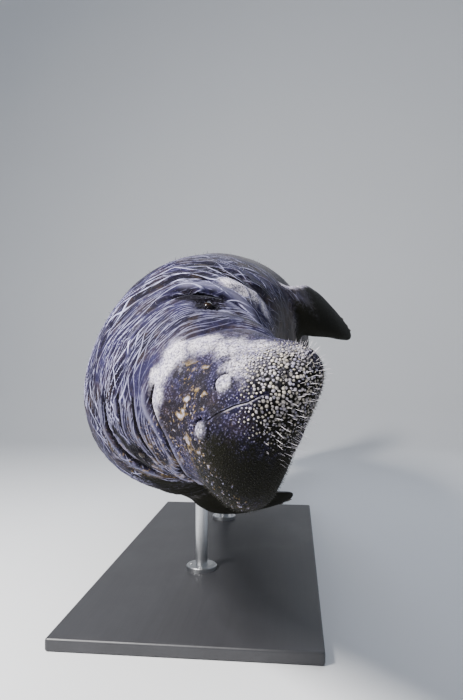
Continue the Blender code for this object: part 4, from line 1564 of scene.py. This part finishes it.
def screw_tree():
    """Sets a ring of screws at each point of the surface, by number and radius."""
    tree, given = group_tree("flange_screws", (
        ("Form", "Object", None),
        ("Count", "Int", 4),
        ("Ring", "Float", 0.031),
        ("Seed", "Int", 5),
        ("Finish", "Material", None),
    ))
    circle = given_by(tree, "GeometryNodeMeshCircle", {
        "Vertices": given["Count"], "Radius": given["Ring"],
    })
    spin = given_by(tree, "FunctionNodeRandomValue", {2: 0.0, 3: math.pi, "Seed": given["Seed"]}, 1,
                    data_type="FLOAT")
    ring = given_by(tree, "GeometryNodeInstanceOnPoints", {
        "Points": circle, "Rotation": given_by(tree, "ShaderNodeCombineXYZ", {2: spin}),
        "Instance": given_by(tree, "GeometryNodeObjectInfo", {"Object": given["Form"]}, "Geometry"),
    })
    feet = given_by(tree, "GeometryNodeInstanceOnPoints", {
        "Points": given["Surface"], "Instance": ring,
    })
    end_group(given_by(tree, "GeometryNodeRealizeInstances", {"Geometry": feet}), given["Finish"])
    return tree


def screw_form():
    """A domed screw head with a straight slot cut in it."""
    head = new_object("screw", mesh_from(ring_form(SCREW_FORM, SCREW_SIDES), "screw"))
    slot = bmesh.new()
    bmesh.ops.create_cube(slot, size=1)
    size = Matrix.Translation((0, 0, SLOT_SIZE[2])) @ Matrix.Diagonal((*SLOT_SIZE, 1))
    bmesh.ops.transform(slot, matrix=size, verts=slot.verts)
    mesh = joined(head, [new_object("slot", mesh_from(slot, "slot"))], "DIFFERENCE")
    mesh.shade_smooth()
    mesh.set_sharp_from_angle(angle=math.radians(30))
    return new_object("screw_form", mesh)


def stage_floor():
    """A pale floor that turns up softly into a wall behind the model."""
    shell = bmesh.new()
    outline = [(-4.0, 0.0), (2.6, 0.0)]
    for step in range(1, 13):
        turn = math.pi / 2 * step / 12
        outline.append((2.6 + 1.4 * math.sin(turn), 1.4 * (1 - math.cos(turn))))
    outline.append((4.0, 7.0))
    rows = [[shell.verts.new((x, y, z)) for x in (-9.0, 9.0)] for y, z in outline]
    for low, high in zip(rows, rows[1:]):
        shell.faces.new((low[0], low[1], high[1], high[0]))
    mesh = mesh_from(shell, "studio_floor")
    mesh.shade_smooth()
    return new_object("studio_floor", mesh)


def floor_material(colour):
    """Pale matt paint with a faint cloudiness."""
    finish = Finish("studio_floor")
    shade = finish.place.noise(1.2, 3.0).mix(shaded(colour, 0.96), colour)
    finish.put({"Base Color": shade, "Roughness": 0.85})
    return finish.material


def soft_light(name, place, size, power, colour):
    """A square area light that faces the animal."""
    data = bpy.data.lights.new(name, "AREA")
    data.size = size
    data.energy = power
    data.color = colour
    made = new_object(name, data)
    made.location = place
    made.rotation_euler = (Vector(LIGHT_TARGET) - Vector(place)).to_track_quat("-Z", "Y").to_euler()


def colour_setting(name, description, default):
    """A colour that a user of the model may change."""
    return FloatVectorProperty(
        name=name, description=description, subtype="COLOR", size=3, min=0, max=1, default=default)


def spacing_setting(name, description, default, low, high):
    """A distance between small forms that a user of the model may change."""
    return FloatProperty(
        name=name, description=description, unit="LENGTH", min=low, max=high, default=default)


def number_setting(name, description, default, low, high):
    """A plain number that a user of the model may change."""
    return FloatProperty(name=name, description=description, min=low, max=high, default=default)


class ManateeSettings(bpy.types.PropertyGroup):
    """Sizes and colours that a user of the model may change."""

    skin_dark: colour_setting(
        "Dark skin", "Colour of the skin in its darker areas", (0.005, 0.004, 0.009))
    skin_middle: colour_setting(
        "Skin", "Main colour of the skin", (0.024, 0.021, 0.060))
    skin_hide: colour_setting(
        "Back and tail", "Colour of the smoother skin further back", (0.125, 0.118, 0.118))
    # Painted highlight on crests and raised forms, partly their paler skin; also used for pale flecks
    # and patches
    skin_crest: colour_setting(
        "Crests", "Colour of the tops of the wrinkles", (0.66, 0.65, 0.98))
    # Painted light on the lit face, partly paler skin; also the colour of the bristles and hair tips
    skin_pale: colour_setting(
        "Pale face", "Colour of the pale areas of the face", (0.93, 0.87, 0.94))
    skin_stipple: colour_setting(
        "Stipple", "Colour of the fine dots of the muzzle", (0.30, 0.27, 0.50))
    skin_brown: colour_setting(
        "Brown film", "Colour of the brown blotches", (0.064, 0.042, 0.021))
    skin_algae: colour_setting(
        "Algae", "Colour of the dark growth on the muzzle", (0.012, 0.010, 0.014))
    skin_ochre: colour_setting(
        "Ochre specks", "Colour of the yellow specks", (0.46, 0.31, 0.10))
    # Painted shade of the low muzzle and the underside, also the ground of the papillae and stubble
    skin_dusk: colour_setting(
        "Muzzle", "Colour of the dark front of the muzzle", (0.007, 0.007, 0.004))
    # Painted shade in the depths of folds, slits and pits
    skin_hollow: colour_setting(
        "Creases", "Colour in the depths of folds", (0.004, 0.003, 0.005))
    papilla_spacing: spacing_setting(
        "Papilla spacing", "Distance between the bumps of the muzzle", 0.0042, 0.003, 0.03)
    papilla_size: number_setting(
        "Papilla size", "Size of the bumps, as a multiple", 0.80, 0.3, 3)
    bristle_spacing: spacing_setting(
        "Bristle spacing", "Distance between the bristles of the muzzle", 0.0076, 0.004, 0.05)
    bristle_size: number_setting(
        "Bristle size", "Size of the bristles, as a multiple", 1.0, 0.3, 3)
    stubble_spacing: spacing_setting(
        "Stubble spacing", "Distance between the short hairs of the muzzle", 0.0030, 0.0015, 0.03)
    hair_spacing: spacing_setting(
        "Hair spacing", "Distance between the hairs of the body", 0.034, 0.01, 0.2)
    eye_colour: colour_setting(
        "Eyes", "Colour of the iris", (0.030, 0.016, 0.009))
    board_colour: colour_setting(
        "Board", "Colour of the stand's board", (0.045, 0.045, 0.050))
    floor_colour: colour_setting(
        "Floor", "Colour of the studio floor", (0.86, 0.87, 0.88))
    key_power: number_setting(
        "Key light", "Power of the main light in watts", 200, 0, 2000)
    fill_strength: number_setting(
        "Fill", "Strength of the light from all round", 0.36, 0, 5)
    screw_count: IntProperty(
        name="Screws", description="Screws in each flange", min=2, max=12, default=4)


class SkinPalette:
    """The colours of the skin, as the materials take them."""

    def __init__(self, chosen):
        for name in PALETTE_NAMES:
            setattr(self, name, tuple(getattr(chosen, "skin_" + name)))


class MANATEE_OT_skin(bpy.types.Operator):
    """Makes the whole skin of the animal in one piece"""

    bl_idname = "manatee.skin"
    bl_label = "Skin"

    def execute(self, context):
        skin = new_object("manatee_skin", skin_mesh())
        skin.data.materials.append(skin_material(SkinPalette(settings())))
        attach(skin, "root")
        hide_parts(*FLESH_NODES)
        return {"FINISHED"}


class MANATEE_OT_muzzle_coat(bpy.types.Operator):
    """Sets the round papillae, the bristles and the stubble over the front of the muzzle"""

    bl_idname = "manatee.muzzle_coat"
    bl_label = "Muzzle papillae and bristles"

    def execute(self, context):
        chosen = settings()
        # The painted shade colour is the ground of the papillae and stubble
        dusk, pale = tuple(chosen.skin_dusk), tuple(chosen.skin_pale)
        for name, mask, form, finish, numbers in (
            ("muzzle_papillae", "papilla", (PAPILLA_SIDES, PAPILLA_FORM),
             coat_material("papilla", dusk, PAPILLA_TIP, PAPILLA_VIOLET, 0.42),
             {"Spacing": chosen.papilla_spacing, "Size": chosen.papilla_size, "Variation": 0.26,
              "Tilt": 0.42, "Seed": 3}),
            ("muzzle_bristles", "bristle", (HAIR_SIDES, BRISTLE_FORM, BRISTLE_BEND),
             coat_material("bristle", pale, BRISTLE_TIP, pale, 0.35),
             {"Spacing": chosen.bristle_spacing, "Size": chosen.bristle_size, "Variation": 0.35,
              "Longer": 1.3, "Tilt": 0.16, "Seed": 8}),
            ("muzzle_stubble", "stubble", (HAIR_SIDES, STUBBLE_FORM, STUBBLE_BEND),
             coat_material("stubble", dusk, STUBBLE_TIP, dusk, 0.45),
             {"Spacing": chosen.stubble_spacing, "Variation": 0.40, "Tilt": 0.35, "Seed": 13}),
        ):
            made = coat(name, mask, form, finish, numbers)
            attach(made, "root")
        return {"FINISHED"}


class MANATEE_OT_hairs(bpy.types.Operator):
    """Sets the sparse short hairs over the body"""

    bl_idname = "manatee.hairs"
    bl_label = "Body hairs"

    def execute(self, context):
        middle, pale = tuple(settings().skin_middle), tuple(settings().skin_pale)
        finish = coat_material("hair", middle, pale, middle, 0.4)
        numbers = {"Spacing": settings().hair_spacing, "Variation": 0.4, "Tilt": 0.7, "Seed": 21}
        made = coat("body_hairs", "hair", (HAIR_SIDES, HAIR_FORM, HAIR_BEND), finish, numbers)
        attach(made, "root")
        return {"FINISHED"}


class MANATEE_OT_eyes(bpy.types.Operator):
    """Makes both eyes"""

    bl_idname = "manatee.eyes"
    bl_label = "Eyes"

    def execute(self, context):
        finish = eye_material(tuple(settings().eye_colour))
        for side, node in ((1, "eye_left"), (-1, "eye_right")):
            made = eyeball(side, node.replace("eye", "eyeball"))
            made.data.materials.append(finish)
            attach(made, "root")
            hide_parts(node)
        return {"FINISHED"}


class MANATEE_OT_nails(bpy.types.Operator):
    """Makes the nails at the tips of the flippers"""

    bl_idname = "manatee.nails"
    bl_label = "Nails"

    def execute(self, context):
        made = nails()
        made.data.materials.append(nail_material())
        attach(made, "root")
        return {"FINISHED"}


class MANATEE_OT_stand(bpy.types.Operator):
    """Finishes the board, rods and flanges of the stand and sets their screws"""

    bl_idname = "manatee.stand"
    bl_label = "Stand"

    def execute(self, context):
        board = board_material(tuple(settings().board_colour))
        steel = steel_material()
        for name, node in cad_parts.items():
            if name.startswith("stand_"):
                finish = board if name == "stand_base" else steel
                node.data.materials.clear()
                node.data.materials.append(finish)
        feet = bpy.data.meshes.new("flange_tops")
        boxes = [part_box(name) for name in ("stand_flange_front", "stand_flange_rear")]
        tops = [((low[0] + high[0]) / 2, (low[1] + high[1]) / 2, high[2]) for low, high in boxes]
        feet.from_pydata(tops, [], [])
        form = screw_form()
        carrier = new_object("feet", feet)
        values = {"Form": form, "Count": settings().screw_count, "Finish": steel}
        screws = grown(carrier, "stand_screws", screw_tree(), values)
        for spare in (form, carrier):
            bpy.data.objects.remove(spare)
        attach(screws, "root")
        return {"FINISHED"}


class MANATEE_OT_stage(bpy.types.Operator):
    """Makes the studio floor, the lights and the camera"""

    bl_idname = "manatee.stage"
    bl_label = "Stage"

    def execute(self, context):
        scene = context.scene
        floor = stage_floor()
        floor.data.materials.append(floor_material(tuple(settings().floor_colour)))
        soft_light("key_light", KEY_PLACE, KEY_SIZE, settings().key_power, KEY_COLOUR)
        soft_light("rim_light", RIM_PLACE, RIM_SIZE, RIM_POWER, RIM_COLOUR)
        world = bpy.data.worlds.new("studio")
        world.use_nodes = True
        background = world.node_tree.nodes["Background"]
        background.inputs["Color"].default_value = FILL_COLOUR
        background.inputs["Strength"].default_value = settings().fill_strength
        scene.world = world
        data = bpy.data.cameras.new("camera")
        data.sensor_fit = "VERTICAL"
        data.sensor_height = SENSOR
        data.sensor_width = SENSOR
        data.lens = SENSOR * FOCAL_PIXELS / PHOTO_HEIGHT
        camera = new_object("camera", data)
        camera.location = CAMERA_PLACE
        way = Vector((
            math.sin(CAMERA_YAW) * math.cos(CAMERA_PITCH),
            math.cos(CAMERA_YAW) * math.cos(CAMERA_PITCH),
            math.sin(CAMERA_PITCH),
        ))
        camera.rotation_euler = way.to_track_quat("-Z", "Y").to_euler()
        scene.camera = camera
        return {"FINISHED"}


class MANATEE_PT_panel(bpy.types.Panel):
    """Lists the pieces of the model and its settings"""

    bl_idname = "MANATEE_PT_panel"
    bl_label = "Manatee"
    bl_space_type = "VIEW_3D"
    bl_region_type = "UI"
    bl_category = "Manatee"

    def draw(self, context):
        column = self.layout.column(align=True)
        for piece in PIECES:
            column.operator(piece.bl_idname)
        for name in ManateeSettings.__annotations__:
            self.layout.prop(settings(), name)


PIECES = (
    MANATEE_OT_skin,
    MANATEE_OT_muzzle_coat,
    MANATEE_OT_hairs,
    MANATEE_OT_eyes,
    MANATEE_OT_nails,
    MANATEE_OT_stand,
    MANATEE_OT_stage,
)


def register():
    """Adds the settings, the operators and the panel to Blender."""
    for kind in (ManateeSettings, *PIECES, MANATEE_PT_panel):
        bpy.utils.register_class(kind)
    bpy.types.Scene.manatee_settings = PointerProperty(type=ManateeSettings)


def unregister():
    """Takes them out again."""
    del bpy.types.Scene.manatee_settings
    for kind in reversed((ManateeSettings, *PIECES, MANATEE_PT_panel)):
        bpy.utils.unregister_class(kind)


def main():
    """Makes every piece and the stage."""
    register()
    bpy.ops.manatee.skin()
    bpy.ops.manatee.muzzle_coat()
    bpy.ops.manatee.hairs()
    bpy.ops.manatee.eyes()
    bpy.ops.manatee.nails()
    bpy.ops.manatee.stand()
    bpy.ops.manatee.stage()


if __name__ == "__main__":
    main()
